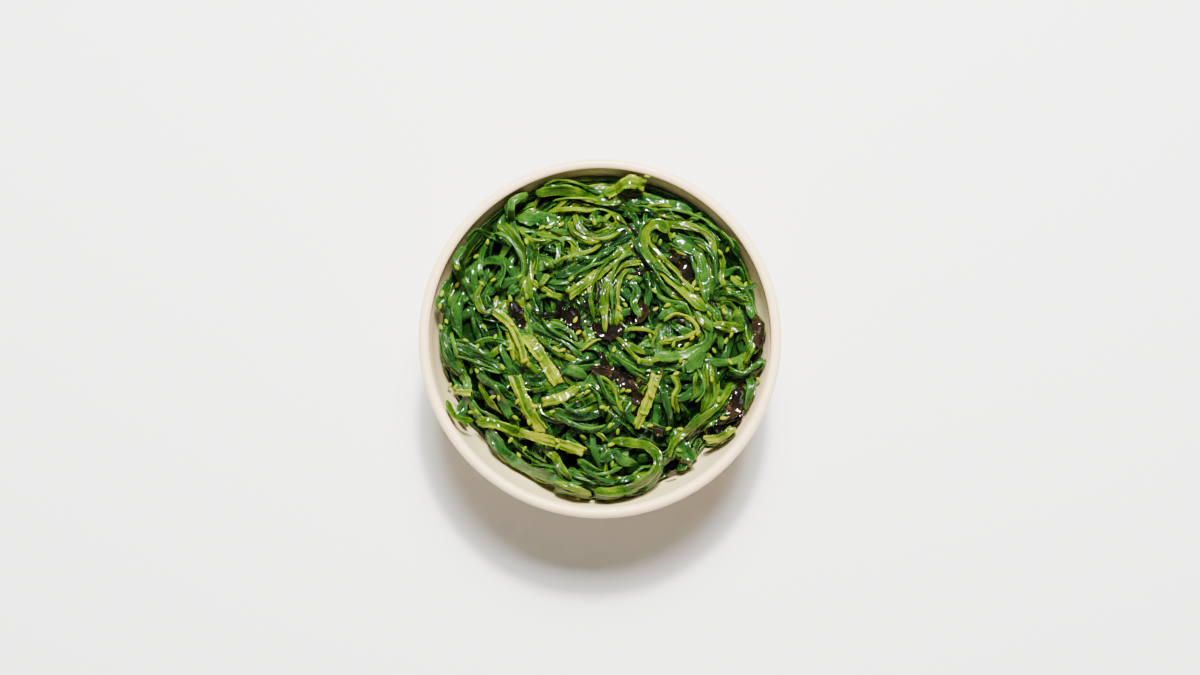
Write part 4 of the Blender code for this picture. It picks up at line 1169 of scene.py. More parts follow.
@dataclass
class FineFill:
    """Finer strands that fill the heap from a low floor up to its top, each laid on those before it."""

    heap: Heap
    count: int = 860
    deep_count: int = 170
    edge_count: int = 180
    seed: int = 41
    choices: int = 7
    deep_choices: int = 3
    width: tuple = (1.4, 3.1)
    deep_width: tuple = (2.6, 4.0)
    thickness: tuple = (0.75, 1.15)
    length: tuple = (30.0, 80.0)
    reach: float = 59.0
    step: float = 3.0
    most_bend: float = 0.50
    most_turned: float = 4.2
    low_start: float = 6.5
    least_score: float = -1.0
    least_edge_score: float = -4.0
    stray_count: int = 80
    stray_choices: int = 5
    stray_width: tuple = (0.7, 1.8)
    stray_thickness: tuple = (0.6, 0.9)
    stray_clearance: float = 0.4

    def start_relief(self) -> Relief:
        """The floor that the first strands lie on: the dome, lowered, inside the bowl's wall."""
        x, y = Relief.grid()
        return Relief(np.maximum(self.heap.height(x, y) - self.low_start, self.heap.floor(x, y, 0.2)))

    def path(self, draw: np.random.Generator, width: float) -> np.ndarray:
        """A random path that curls: its bend drifts along it, and it stays inside the heap's edge.

        Args:
            draw: the random draws.
            width: the strand's width.

        Returns:
            Plan points.
        """
        inset = 0.55 * width - 0.4
        angle, radius = draw.uniform(0, FULL_TURN), self.reach * math.sqrt(draw.uniform(0.0, 1.0))
        place = radius * np.array([math.cos(angle), math.sin(angle)])
        place = kept_inside(place[None], self.heap.edge(*place) - inset - 0.5)[0]
        heading = angle + math.pi / 2 * draw.choice([-1, 1])
        heading = heading + draw.normal(0, 0.35 + 0.9 * (1 - radius / self.reach))
        ahead = np.array([math.cos(heading), math.sin(heading)])
        bend, points, turned = draw.normal(0, 0.16), [place], 0.0
        for _ in range(int(draw.uniform(*self.length) / self.step)):
            bend = np.clip(0.86 * bend + draw.normal(0, 0.10), -self.most_bend, self.most_bend)
            if abs(turned + bend) > self.most_turned:
                bend = -0.3 * bend
            turned += bend
            place, ahead = step_on(self.heap, place, ahead, bend, self.step, inset)
            points.append(place)
        path = np.array(points)
        return kept_inside(path, self.heap.edge(*path.T) - inset)

    def beside(self, parent: Blade, draw: np.random.Generator, width: float) -> np.ndarray:
        """A path that runs beside a strand, a width or so away, and slowly drifts from it.

        Args:
            parent: the strand that it runs beside.
            draw: the random draws.
            width: its own width.

        Returns:
            Plan points.
        """
        away = draw.choice([-1, 1]) * (parent.half_width.max() + 0.5 * width + draw.uniform(-0.2, 0.7))
        station = np.linspace(0, 1, len(parent.path))
        drift = 1.0 + draw.normal(0, 0.7) * station + 0.5 * np.sin(5.0 * station + draw.uniform(*PHASES))
        path = parent.path + parent.left * (away * drift)[:, None]
        first = int(draw.uniform(0.0, 0.3) * len(path))
        last = int(draw.uniform(0.7, 1.0) * len(path))
        every = round(self.step / PATH_STEP)
        path = path[first:last:every]
        return kept_inside(path, self.heap.edge(*path.T) - 0.5 * width)

    def along_edge(self, draw: np.random.Generator, width: float) -> np.ndarray:
        """A path that runs along the heap's edge and wavers to and from it as a sine.

        Args:
            draw: the random draws.
            width: the strand's width.

        Returns:
            Plan points.
        """
        station = np.linspace(0, 1, 9)
        turn = draw.choice([-1, 1]) * draw.uniform(16.0, 46.0) / 56.0
        angle = draw.uniform(0, FULL_TURN) + turn * station
        inset = 0.4 * width + draw.uniform(-1.8, 5.5)
        inset = inset + draw.uniform(0.4, 2.2) * np.sin(draw.uniform(3, 9) * station + draw.uniform(*PHASES))
        ahead = rows(np.cos(angle), np.sin(angle))
        return ahead * (self.heap.edge(*ahead.T) - np.maximum(inset, -0.2))[:, None]

    def choose(self, number: int, choice: int, laid: list[Laid], draw: np.random.Generator,
               width: float) -> np.ndarray:
        """A path for a strand: the deep ones wander, the next run along the edge, the rest beside others.

        Args:
            number: the strand's number.
            choice: which of its choices this is.
            laid: the strands before it.
            draw: the random draws.
            width: its width.

        Returns:
            Plan points.
        """
        if self.deep_count <= number < self.deep_count + self.edge_count:
            return self.along_edge(draw, width)
        if number >= self.deep_count and choice < 5 and draw.uniform() < 0.85:
            return self.beside(laid[int(draw.uniform(0.6, 1.0) * (len(laid) - 1))].blade, draw, width)
        return self.path(draw, width)

    def lay(self, relief: Relief, ceiling: Relief) -> list[Laid]:
        """Lays strands where the heap is lowest under its top, many of them beside an earlier one.

        Args:
            relief: what lies there already, which is raised.
            ceiling: the undersides of the source's strands, with their signs turned.

        Returns:
            The strands.
        """
        draw = np.random.default_rng(self.seed)
        laid: list[Laid] = []
        for number in range(self.count):
            deep = number < self.deep_count
            edge = not deep and number < self.deep_count + self.edge_count
            width = draw.uniform(*(self.deep_width if deep else self.width))
            best = None
            for choice in range(self.deep_choices if deep else self.choices):
                points = self.choose(number, choice, laid, draw, width)
                if len(points) < 4:
                    continue
                blade = Blade(points, width, draw.uniform(*self.thickness), False, FINE_LAYER)
                blade.rest_on(relief, self.heap)
                blade.stay_under(ceiling)
                room = self.heap.height(*blade.path.T) + 1.0 - blade.underside - blade.thickness
                score = np.clip(room, -2.0, 3.5).mean() - 1.2 * np.clip(-room, 0, None).max()
                if best is None or score > best[0]:
                    best = (score, blade, float(room.mean()))
            if best is None or best[0] < (self.least_edge_score if edge else self.least_score):
                continue
            best[1].dive(1.6, 5.0)
            best[1].add_to(relief, Owner.FILLING)
            laid.append(Laid(best[1], best[2], deep))
        LOG.info("filling: %d strands laid of %d", len(laid), self.count)
        return laid

    def stray(self, relief: Relief, carriers: list[Blade], top: float) -> list[Blade]:
        """Thin strands over all the others, which run beside the named ones and tie them into the heap.

        Args:
            relief: what lies there already, which is raised.
            carriers: the strands that they run beside.
            top: the height that none may pass.

        Returns:
            The strands.
        """
        draw = np.random.default_rng(self.seed + 1)
        strays = []
        for _ in range(self.stray_count):
            width = draw.uniform(*self.stray_width)
            best = None
            for _ in range(self.stray_choices):
                parent = carriers[int(draw.uniform() * len(carriers))]
                points = self.beside(parent, draw, width)
                if len(points) < 5:
                    continue
                blade = Blade(points, width, draw.uniform(*self.stray_thickness), False, LOOSE_LAYER)
                blade.rest_on(relief, self.heap)
                over = blade.underside + blade.thickness + self.stray_clearance
                owner = relief.owner[relief.cell(*blade.path.T)]
                fronds, kept_clear = (owner == Owner.PLAIN_FROND).mean(), (owner == Owner.KEPT_CLEAR).mean()
                covered = 3.0 * fronds + 14.0 * kept_clear
                proud = (over - self.heap.height(*blade.path.T)).mean() + covered
                proud += 4.0 * max(0.0, over.max() - top)
                if best is None or proud < best[0]:
                    best = (proud, blade)
            if best is None:
                continue
            best[1].dive(1.2, 4.0)
            highest_underside = top - best[1].thickness - self.stray_clearance
            best[1].underside = np.minimum(best[1].underside, highest_underside)
            best[1].add_to(relief, Owner.STRAY)
            strays.append(best[1])
        return strays


@dataclass(frozen=True)
class WeedFinish:
    """Wet seaweed: three colours that its strands range over, a painted glow at its thin edges, its gloss and
    how light goes into it.
    """

    name: str
    slot: str
    deep: tuple
    main: tuple
    light: tuple
    roughness: float = 0.11
    subsurface: float = 0.50
    radius: tuple = (0.0014, 0.0022, 0.0005)
    transmission: float = 0.04
    wrinkle: float = 0.60
    painted_edge_glow: float = 0.35
    streak: float = 0.6
    coat: float = 0.25
    coat_roughness: float = 0.03
    gloss: float = 0.80
    refraction: float = 1.38
    coat_refraction: float = 1.40
    bump: float = 0.75
    bump_depth: float = 0.00016

    def material(self, groups: "Groups") -> bpy.types.Material:
        """A Principled material whose colour, roughness and bump come from the shared groups.

        Args:
            groups: the shared node groups.

        Returns:
            The material.
        """
        made, tree, shader = new_material(self.name)
        tint = groups.place(tree, groups.tint, {
            "Deep": self.deep, "Main": self.main, "Light": self.light, "Painted Edge Glow": self.painted_edge_glow,
            "Streak": self.streak,
        })
        skin = groups.place(tree, groups.skin, {"Wrinkle": self.wrinkle, "Roughness": self.roughness})
        rough(tree, shader, skin.outputs["Height"], self.bump, self.bump_depth)
        tree.links.new(skin.outputs["Roughness"], shader.inputs["Roughness"])
        tree.links.new(tint.outputs["Color"], shader.inputs["Base Color"])
        set_values(shader, {
            "Subsurface Weight": self.subsurface, "Subsurface Radius": self.radius, "Subsurface Scale": 1.0,
            "IOR": self.refraction, "Transmission Weight": self.transmission, "Coat Weight": self.coat,
            "Coat Roughness": self.coat_roughness, "Coat IOR": self.coat_refraction,
            "Specular IOR Level": self.gloss,
        })
        return made


def new_material(name: str) -> tuple[bpy.types.Material, bpy.types.NodeTree, bpy.types.Node]:
    """A new node material.

    Args:
        name: its name.

    Returns:
        The material, its tree and its Principled shader.
    """
    made = bpy.data.materials.new(name)
    made.use_nodes = True
    return made, made.node_tree, made.node_tree.nodes["Principled BSDF"]


def set_values(node: bpy.types.Node, values: dict[str, object]) -> None:
    """Sets a node's inputs, by their names, to plain values."""
    for key, value in values.items():
        node.inputs[key].default_value = value


def rough(tree: bpy.types.NodeTree, shader: bpy.types.Node, height: bpy.types.NodeSocket, strength: float,
          depth: float) -> None:
    """Gives a shader a bump.

    Args:
        tree: the material's tree.
        shader: its shader.
        height: the height, from 0 to 1.
        strength: how much of the bump shows.
        depth: its depth in metres.
    """
    bump = tree.nodes.new("ShaderNodeBump")
    set_values(bump, {"Strength": strength, "Distance": depth})
    tree.links.new(height, bump.inputs["Height"])
    tree.links.new(bump.outputs["Normal"], shader.inputs["Normal"])


class Groups:
    """The shader node groups that several finishes share."""

    def __init__(self) -> None:
        """Builds each group once."""
        self.tint = self.build_tint()
        self.skin = self.build_skin()

    @staticmethod
    def empty(name: str, inputs: dict[str, tuple[str, object]],
              outputs: dict[str, str]) -> bpy.types.NodeTree:
        """A node group with the named sockets and no nodes between its ends.

        Args:
            name: the group's name.
            inputs: each input's socket type and default value.
            outputs: each output's socket type.

        Returns:
            The group.
        """
        group = bpy.data.node_groups.new(name, "ShaderNodeTree")
        for key, (kind, value) in inputs.items():
            socket = group.interface.new_socket(key, in_out="INPUT", socket_type=kind)
            socket.default_value = value
        for key, kind in outputs.items():
            group.interface.new_socket(key, in_out="OUTPUT", socket_type=kind)
        group.nodes.new("NodeGroupInput")
        group.nodes.new("NodeGroupOutput")
        return group

    @staticmethod
    def ends(group: bpy.types.NodeTree) -> tuple[bpy.types.Node, bpy.types.Node]:
        """The group's input node and output node."""
        return group.nodes["Group Input"], group.nodes["Group Output"]

    @staticmethod
    def place(tree: bpy.types.NodeTree, group: bpy.types.NodeTree, values: dict) -> bpy.types.Node:
        """Puts a group into a material.

        Args:
            tree: the material's tree.
            group: the group.
            values: the inputs' values, by name.

        Returns:
            The node.
        """
        node = tree.nodes.new("ShaderNodeGroup")
        node.node_tree = group
        set_values(node, values)
        return node

    @staticmethod
    def math(tree: bpy.types.NodeTree, operation: str, first: object, second: object, third: object = None,
             clamp: bool = False) -> bpy.types.NodeSocket:
        """The output of a Math node.

        Args:
            tree: the tree that it stands in.
            operation: what it works out.
            first: its first operand, a socket or a number.
            second: its second operand.
            third: its third operand, where it has one.
            clamp: whether the result is kept from 0 to 1.

        Returns:
            The output.
        """
        node = tree.nodes.new("ShaderNodeMath")
        node.operation = operation
        node.use_clamp = clamp
        for place, value in enumerate((first, second, third)):
            if isinstance(value, bpy.types.NodeSocket):
                tree.links.new(value, node.inputs[place])
            elif value is not None:
                node.inputs[place].default_value = value
        return node.outputs[0]

    @staticmethod
    def mix(tree: bpy.types.NodeTree, factor: object, first: object, second: object) -> bpy.types.NodeSocket:
        """The output of a colour Mix node.

        Args:
            tree: the tree that it stands in.
            factor: the share of the second colour, a socket or a number.
            first: the first colour, or a socket.
            second: the second colour, or a socket.

        Returns:
            The output.
        """
        node = tree.nodes.new("ShaderNodeMix")
        node.data_type = "RGBA"
        for place, value in ((0, factor), (6, first), (7, second)):
            if isinstance(value, bpy.types.NodeSocket):
                tree.links.new(value, node.inputs[place])
            else:
                node.inputs[place].default_value = value
        return node.outputs[2]

    @staticmethod
    def noise(tree: bpy.types.NodeTree, vector: bpy.types.NodeSocket, scale: float, detail: float = 2.0,
              roughness: float = 0.5) -> bpy.types.NodeSocket:
        """The value of a Noise Texture.

        Args:
            tree: the tree that it stands in.
            vector: where it is read.
            scale: its lumps to a unit of the vector.
            detail: how many finer noises it adds.
            roughness: how strong they are.

        Returns:
            The output.
        """
        node = tree.nodes.new("ShaderNodeTexNoise")
        set_values(node, {"Scale": scale, "Detail": detail, "Roughness": roughness})
        tree.links.new(vector, node.inputs["Vector"])
        return node.outputs[0]

    @classmethod
    def along(cls, tree: bpy.types.NodeTree, scale: tuple,
              shift: bpy.types.NodeSocket) -> bpy.types.NodeSocket:
        """A strand's own coordinates.

        Args:
            tree: the tree that they are read in.
            scale: their scale along and around the strand.
            shift: what moves them apart, so that no two strands are alike.

        Returns:
            The output.
        """
        coordinates = tree.nodes.new("ShaderNodeTexCoord")
        stretch = tree.nodes.new("ShaderNodeMapping")
        stretch.inputs["Scale"].default_value = scale
        tree.links.new(coordinates.outputs["UV"], stretch.inputs["Vector"])
        apart = tree.nodes.new("ShaderNodeCombineXYZ")
        tree.links.new(cls.math(tree, "MULTIPLY", shift, 60.0), apart.inputs["Z"])
        total = tree.nodes.new("ShaderNodeVectorMath")
        total.operation = "ADD"
        tree.links.new(stretch.outputs["Vector"], total.inputs[0])
        tree.links.new(apart.outputs["Vector"], total.inputs[1])
        return total.outputs["Vector"]

    def build_tint(self) -> bpy.types.NodeTree:
        """Colour that goes from Deep over Main to Light by the strand's tone, patches and a painted glow at
        its thin edges.

        The place between them is the tone, raised or lowered by a noise in patches, a finer mottle,
        streaks along the strand, and raised towards its thin edges as a painted glow of light through them.
        Main is at a half.

        Returns:
            The group.
        """
        colour = ("NodeSocketColor", (0.5, 0.5, 0.5, 1.0))
        group = self.empty(
            "strand_tint",
            {"Deep": colour, "Main": colour, "Light": colour, "Painted Edge Glow": ("NodeSocketFloat", 0.3),
             "Streak": ("NodeSocketFloat", 0.4)},
            {"Color": "NodeSocketColor"},
        )
        enter, leave = self.ends(group)
        place = group.nodes.new("ShaderNodeTexCoord").outputs["Object"]
        tone = group.nodes.new("ShaderNodeAttribute")
        tone.attribute_name = "tone"
        edge = group.nodes.new("ShaderNodeAttribute")
        edge.attribute_name = "edge"
        patch = self.noise(group, place, 160.0, 3.0)
        mottle = self.noise(group, place, 900.0, 2.0, 0.6)
        streaks = self.noise(group, self.along(group, (0.6, 18.0, 1.0), tone.outputs["Fac"]), 1.0, 2.5, 0.6)
        value = self.math(group, "MULTIPLY_ADD", patch, 1.8, -0.90)
        value = self.math(group, "ADD", value, tone.outputs["Fac"])
        value = self.math(group, "MULTIPLY_ADD", mottle, 0.24, self.math(group, "ADD", value, -0.12))
        streak = self.math(group, "MULTIPLY", self.math(group, "ADD", streaks, -0.5), enter.outputs["Streak"])
        value = self.math(group, "MULTIPLY_ADD", streak, 2.0, value)
        # Painted glow: the thin edges are lightened as if light shone through them.
        lit = self.math(group, "MULTIPLY_ADD", edge.outputs["Fac"], enter.outputs["Painted Edge Glow"], value)
        lower = self.math(group, "MULTIPLY", lit, 2.0, clamp=True)
        upper = self.math(group, "MULTIPLY_ADD", lit, 2.0, -1.0, clamp=True)
        mixed = self.mix(group, lower, enter.outputs["Deep"], enter.outputs["Main"])
        mixed = self.mix(group, upper, mixed, enter.outputs["Light"])
        group.links.new(mixed, leave.inputs["Color"])
        return group

    def build_skin(self) -> bpy.types.NodeTree:
        """Fine wrinkles along a strand and pores all over it, with roughness that changes with the pores.

        Returns:
            The group.
        """
        group = self.empty(
            "wet_skin",
            {"Wrinkle": ("NodeSocketFloat", 0.3), "Roughness": ("NodeSocketFloat", 0.3)},
            {"Height": "NodeSocketFloat", "Roughness": "NodeSocketFloat"},
        )
        enter, leave = self.ends(group)
        coordinates = group.nodes.new("ShaderNodeTexCoord")
        tone = group.nodes.new("ShaderNodeAttribute")
        tone.attribute_name = "tone"
        wrinkle = self.noise(group, self.along(group, (0.5, 9.0, 1.0), tone.outputs["Fac"]), 1.0, 2.0, 0.6)
        pores = self.noise(group, coordinates.outputs["Object"], 1150.0, 2.0, 0.6)
        height = self.math(group, "MULTIPLY", wrinkle, enter.outputs["Wrinkle"])
        height = self.math(group, "MULTIPLY_ADD", pores, 0.38, height)
        roughness = self.math(group, "MULTIPLY_ADD", pores, 0.16, enter.outputs["Roughness"])
        roughness = self.math(group, "ADD", roughness, -0.08)
        group.links.new(height, leave.inputs["Height"])
        group.links.new(roughness, leave.inputs["Roughness"])
        return group


FINISHES = {
    Kind.DEEP: WeedFinish("wakame_deep_wet", "wakame_deep", (0.0024, 0.0140, 0.0016, 1),
                          (0.0058, 0.031, 0.0046, 1), (0.018, 0.070, 0.0070, 1)),
    Kind.GREEN: WeedFinish("wakame_green_wet", "wakame_green", (0.0022, 0.0140, 0.0014, 1),
                           (0.0094, 0.046, 0.0050, 1), (0.036, 0.101, 0.0080, 1)),
    Kind.BRIGHT: WeedFinish("wakame_bright_wet", "wakame_bright", (0.0035, 0.022, 0.0006, 1),
                            (0.020, 0.058, 0.0014, 1), (0.086, 0.131, 0.0016, 1)),
    Kind.PALE: WeedFinish("stem_slice_wet", "stem_slice", (0.014, 0.048, 0.0010, 1),
                          (0.056, 0.108, 0.0014, 1), (0.205, 0.224, 0.0012, 1), transmission=0.12,
                          wrinkle=0.9, painted_edge_glow=0.12, streak=1.6),
    Kind.EAR: WeedFinish("wood_ear_wet", "wood_ear", (0.0010, 0.0007, 0.0005, 1),
                         (0.0040, 0.0025, 0.0012, 1), (0.0180, 0.0092, 0.0034, 1), subsurface=0.05,
                         transmission=0.0, wrinkle=0.35, painted_edge_glow=0.3, coat=0.6),
    # Near-black green: painted shade for the heap's depths under the strands.
    Kind.CORE: WeedFinish("wakame_core_painted_shade", "wakame_dark", (0.0010, 0.0060, 0.0007, 1),
                          (0.0024, 0.0140, 0.0014, 1), (0.0060, 0.0260, 0.0020, 1), roughness=0.55,
                          transmission=0.0, coat=0.0, gloss=0.1),
}


@dataclass
class Salad:
    """The seaweed, stem slices, wood-ear and seeds in the bowl."""

    heap: Heap
    groups: Groups
    seed_length: float = 2.75
    seed_width: float = 1.4
    seed_height: float = 0.95
    seed_clearance: float = 0.18
    hem_start: float = 47.0
    hem_levels: int = 7
    lean_count: int = 100
    lean_angles: tuple = (14.0, 172.0)
    stray_top: float = 52.1
    finishes: dict[Kind, bpy.types.Material] = field(default_factory=dict)
    relief: Relief = field(init=False)

    def __post_init__(self) -> None:
        """Makes the finishes."""
        self.finishes = {kind: finish.material(self.groups) for kind, finish in FINISHES.items()}

    def lay_source(self) -> list[Blade]:
        """Lays the bed's strands and the named strands where the source has them.

        Returns:
            The named strands.
        """
        x, y = Relief.grid()
        relief = Relief(np.maximum(self.heap.height(x, y) - self.heap.core_depth, self.heap.floor(x, y)))
        SourceBed(self.heap).lay(relief)
        named = []
        for strand in STRANDS:
            blade = Blade(self.heap.plan_of_seen(strand.points), strand.width, strand.thickness,
                          strand.kind is Kind.PALE, SOURCE_LAYER)
            blade.rest_on(relief)
            blade.add_to(relief, Owner.PLAIN_FROND)
            named.append(blade)
        return named

    def dress(self, piece: bpy.types.Object, kind: Kind, *nodes: str) -> None:
        """Gives a piece its finish, lets it ride on the body and lets it stand for its nodes.

        Args:
            piece: the piece.
            kind: what it is made of.
            *nodes: the nodes that it replaces.
        """
        piece.data.materials.append(self.finishes[kind])
        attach(piece, BODY)
        if nodes:
            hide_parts(*nodes)

    def build(self) -> None:
        """Builds every piece of the salad."""
        named = self.lay_source()
        ceiling = Relief(np.full(Relief.grid()[0].shape, -1000.0))
        for blade in named:
            x, y, offset = blade.across(np.linspace(-1, 1, 17), 0.2)
            under = blade.underside[:, None] + blade.bank[:, None] * offset
            ceiling.raise_to(x, y, -under, Owner.KEPT_CLEAR)
        self.relief = FineFill(self.heap).start_relief()
        self.build_core()
        self.build_named(named)
        self.build_fill(ceiling, named)
        for strand, blade in zip(STRANDS, named):
            plain_frond = strand.name.startswith("frond") and strand.name not in BROAD_FRONDS
            blade.add_to(self.relief, Owner.PLAIN_FROND if plain_frond else Owner.KEPT_CLEAR)
        self.build_strays(named)
        self.build_seeds()

    def build_named(self, named: list[Blade]) -> None:
        """A fine strand, or a bundle of them, in the place of each named node.

        Args:
            named: the named strands.
        """
        draw = np.random.default_rng(5)
        for strand, blade in zip(STRANDS, named):
            tone = BROAD_FRONDS.get(strand.name, draw.uniform(0.35, 0.65))
            whole = strand.name in BROAD_FRONDS or not strand.name.startswith("frond")
            bundle = [blade] if whole else self.bundle(blade, draw)
            parts = [swept(part, form_of(strand), tone + draw.uniform(-0.12, 0.12), draw) for part in bundle]
            piece = mesh_of(strand.name + "_fine", parts)
            self.dress(piece, strand.kind, strand.name)
        LOG.info("named strands: %d pieces", len(named))

    def bundle(self, blade: Blade, draw: np.random.Generator) -> list[Blade]:
        """The strands in a frond's place: one alone, or up to four that sway to and fro as sines.

        Args:
            blade: the frond.
            draw: the random draws.

        Returns:
            The strands, side by side.
        """
        count = int(draw.choice([1, 2, 3, 4], p=[0.12, 0.40, 0.33, 0.15]))
        if count == 1 or blade.half_width.max() < 1.3:
            return [blade]
        along = np.arange(len(blade.path)) * PATH_STEP
        parts = []
        for number in range(count):
            side = (number - (count - 1) / 2) * (2.0 / count)
            phase = draw.uniform(0, FULL_TURN)
            sway = side + 0.30 * np.sin(FULL_TURN * along / draw.uniform(18, 34) + phase)
            lift = 0.22 + 0.22 * np.sin(FULL_TURN * along / draw.uniform(12, 22) + phase)
            share = draw.uniform(0.95, 1.25) / count
            parts.append(blade.part(np.clip(sway, -1.0, 1.0) * (1.0 - share) * blade.half_width, share, lift))
        return parts

    def hem(self, named: list[Blade], draw: np.random.Generator) -> list[tuple[Kind, Surface]]:
        """Strands under the fronds that lie by the wall, one under another and a little further out.

        Args:
            named: the named strands.
            draw: the random draws.

        Returns:
            Each strand's kind and its grid.
        """
        surfaces = []
        for blade in named:
            radius = np.hypot(*blade.path.T)
            if radius.mean() < self.hem_start:
                continue
            outward = np.sign((blade.path * blade.left).sum(axis=1))
            along = np.arange(len(radius)) * PATH_STEP
            for level in range(1, self.hem_levels + 1):
                sway = 0.7 * np.sin(FULL_TURN * along / draw.uniform(14, 30) + draw.uniform(*PHASES))
                shift = averaged(outward * (0.30 * level + draw.uniform(-0.4, 0.4)), 6.0) + sway
                part = blade.part(shift, draw.uniform(0.45, 0.75), np.full(len(radius), -1.05 * level - 0.2))
                part.thickness = draw.uniform(0.9, 1.2)
                x, y, offset = part.across(np.array([-1.0, 0.0, 1.0]))
                if (part.underside + part.thickness < part.floor_under(x, y, offset)).mean() > 0.7:
                    break
                kind = draw.choice([Kind.DEEP, Kind.GREEN, Kind.BRIGHT], p=[0.45, 0.45, 0.10])
                surfaces.append((kind, swept(part, FILL_FORM, draw.uniform(0.3, 0.7), draw)))
        LOG.info("hem: %d strands", len(surfaces))
        return surfaces

    def lean(self, draw: np.random.Generator) -> list[tuple[Kind, Surface]]:
        """Strands that lean on the wall above the heap's edge, where it is piled up against the bowl.

        Each keeps to a height that wavers as a sine, and lies where the wall is at that height.

        Args:
            draw: the random draws.

        Returns:
            Each strand's kind and its grid.
        """
        shape, surfaces = self.heap.bowl, []
        first, last = (math.radians(angle) for angle in self.lean_angles)
        for number in range(self.lean_count):
            width, station = draw.uniform(1.0, 1.9), np.linspace(0, 1, 9)
            turn = draw.choice([-1, 1]) * draw.uniform(14.0, 42.0) / 59.0
            angle = draw.uniform(first, last) + turn * (station - 0.5)
            waver = 0.7 * np.sin(draw.uniform(3, 8) * station + draw.uniform(*PHASES))
            level = np.interp(np.degrees(angle), *LEAN_LEVELS) - 0.8 * (number % 9) + waver
            radius = shape.wall_radius(level, shape.inner_radius, shape.inner_depth) - 0.8
            blade = Blade(rows(np.cos(angle), np.sin(angle)) * radius[:, None], width, draw.uniform(0.7, 1.0),
                          False, FINE_LAYER)
            along = np.linspace(0, 1, len(blade.path))
            blade.underside = np.interp(along, station, level) - 0.4
            blade.add_to(self.relief, Owner.FILLING)
            kind = draw.choice([Kind.DEEP, Kind.GREEN, Kind.BRIGHT], p=[0.50, 0.42, 0.08])
            surfaces.append((kind, swept(blade, FILL_FORM, draw.uniform(0.3, 0.7), draw)))
        return surfaces

    def build_fill(self, ceiling: Relief, named: list[Blade]) -> None:
        """The strands under and between the named ones, in a piece for each finish.

        Args:
            ceiling: the undersides of the named strands, with their signs turned.
            named: the named strands.
        """
        draw = np.random.default_rng(8)
        grouped: dict[Kind, list[Surface]] = {kind: [] for kind in Kind}
        for laid in FineFill(self.heap).lay(self.relief, ceiling):
            # Painted shade: the deeper a strand lies under the heap's top, the darker its tone, and the deep
            # layer mostly takes the deep finish.
            tone = float(np.clip(0.60 - 0.12 * laid.room + draw.normal(0, 0.18), 0.0, 0.95))
            shares = [0.75, 0.25, 0.0, 0.0] if laid.deep else [0.25, 0.44, 0.25, 0.06]
            kind = draw.choice([Kind.DEEP, Kind.GREEN, Kind.BRIGHT, Kind.PALE], p=shares)
            x, y = laid.blade.path.mean(axis=0)
            if any(math.hypot(x - u, y - v) < reach for u, v, reach in DARK_PLACES) and draw.uniform() < 0.6:
                kind = Kind.EAR
            grouped[kind].append(swept(laid.blade, DEEP_FORM if laid.deep else FILL_FORM, tone, draw))
        for strand in UNDER_STRANDS:
            blade = Blade(self.heap.plan_of_seen(strand.points), strand.width, strand.thickness,
                          strand.kind is Kind.PALE, FINE_LAYER)
            blade.rest_on(self.relief, self.heap)
            blade.stay_under(ceiling)
            blade.add_to(self.relief, Owner.FILLING)
            grouped[strand.kind].append(swept(blade, form_of(strand), draw.uniform(0.3, 0.7), draw))
        for kind, surface in self.hem(named, draw) + self.lean(draw):
            grouped[kind].append(surface)
        for kind, surfaces in grouped.items():
            if surfaces:
                piece = mesh_of(f"bed_strands_{kind.value}", surfaces)
                self.dress(piece, kind, "wakame_bed")
                LOG.info("%s: %d strands, %d faces", piece.name, len(surfaces), len(piece.data.polygons))

    def build_strays(self, named: list[Blade]) -> None:
        """The thin strands over all the others, in a piece for each finish.

        Args:
            named: the named strands.
        """
        draw = np.random.default_rng(12)
        grouped: dict[Kind, list[Surface]] = {kind: [] for kind in Kind}
        fronds = [blade for strand, blade in zip(STRANDS, named) if strand.kind not in (Kind.PALE, Kind.EAR)]
        for blade in FineFill(self.heap).stray(self.relief, fronds, self.stray_top):
            kind = draw.choice([Kind.DEEP, Kind.GREEN, Kind.BRIGHT, Kind.PALE], p=[0.2, 0.42, 0.30, 0.08])
            grouped[kind].append(swept(blade, LOOSE_FORM, draw.uniform(0.25, 0.85), draw))
        for kind, surfaces in grouped.items():
            if surfaces:
                self.dress(mesh_of(f"stray_strands_{kind.value}", surfaces), kind)

    def build_core(self) -> None:
        """The dark wet body under the strands, closed along the bowl's wall. Its near-black green is painted
        shade for the heap's shaded depths.

        Its upper face is the low start of the filling, with small lumps that are products of sines. Its
        lower face follows the bowl's inner wall, 0.4 mm away.
        """
        around, rings = 180, 60
        theta = FULL_TURN * np.arange(around) / around
        reach = self.heap.edge(np.cos(theta), np.sin(theta)) - 2.2
        radius = np.linspace(1.0, 0.02, rings)[:, None] * reach
        x, y = radius * np.cos(theta), radius * np.sin(theta)
        floor = self.heap.floor(x, y, 0.4)
        lumps = 0.5 * np.sin(x * 1.1) * np.sin(y * 1.3) + 0.35 * np.sin(x * 2.3 + 1) * np.sin(y * 2.1)
        top = np.maximum(self.heap.height(x, y) - 4.6 + lumps, floor + 0.02)
        upper, lower = rows(x, y, top), rows(x, y, floor)
        points = np.concatenate([lower[::-1], upper])
        piece = mesh_of("bed_core", [Surface(points, 0.1, np.zeros(points.shape[:2]))])
        self.dress(piece, Kind.CORE, "wakame_bed")
        LOG.info("bed core: %d faces", len(piece.data.polygons))

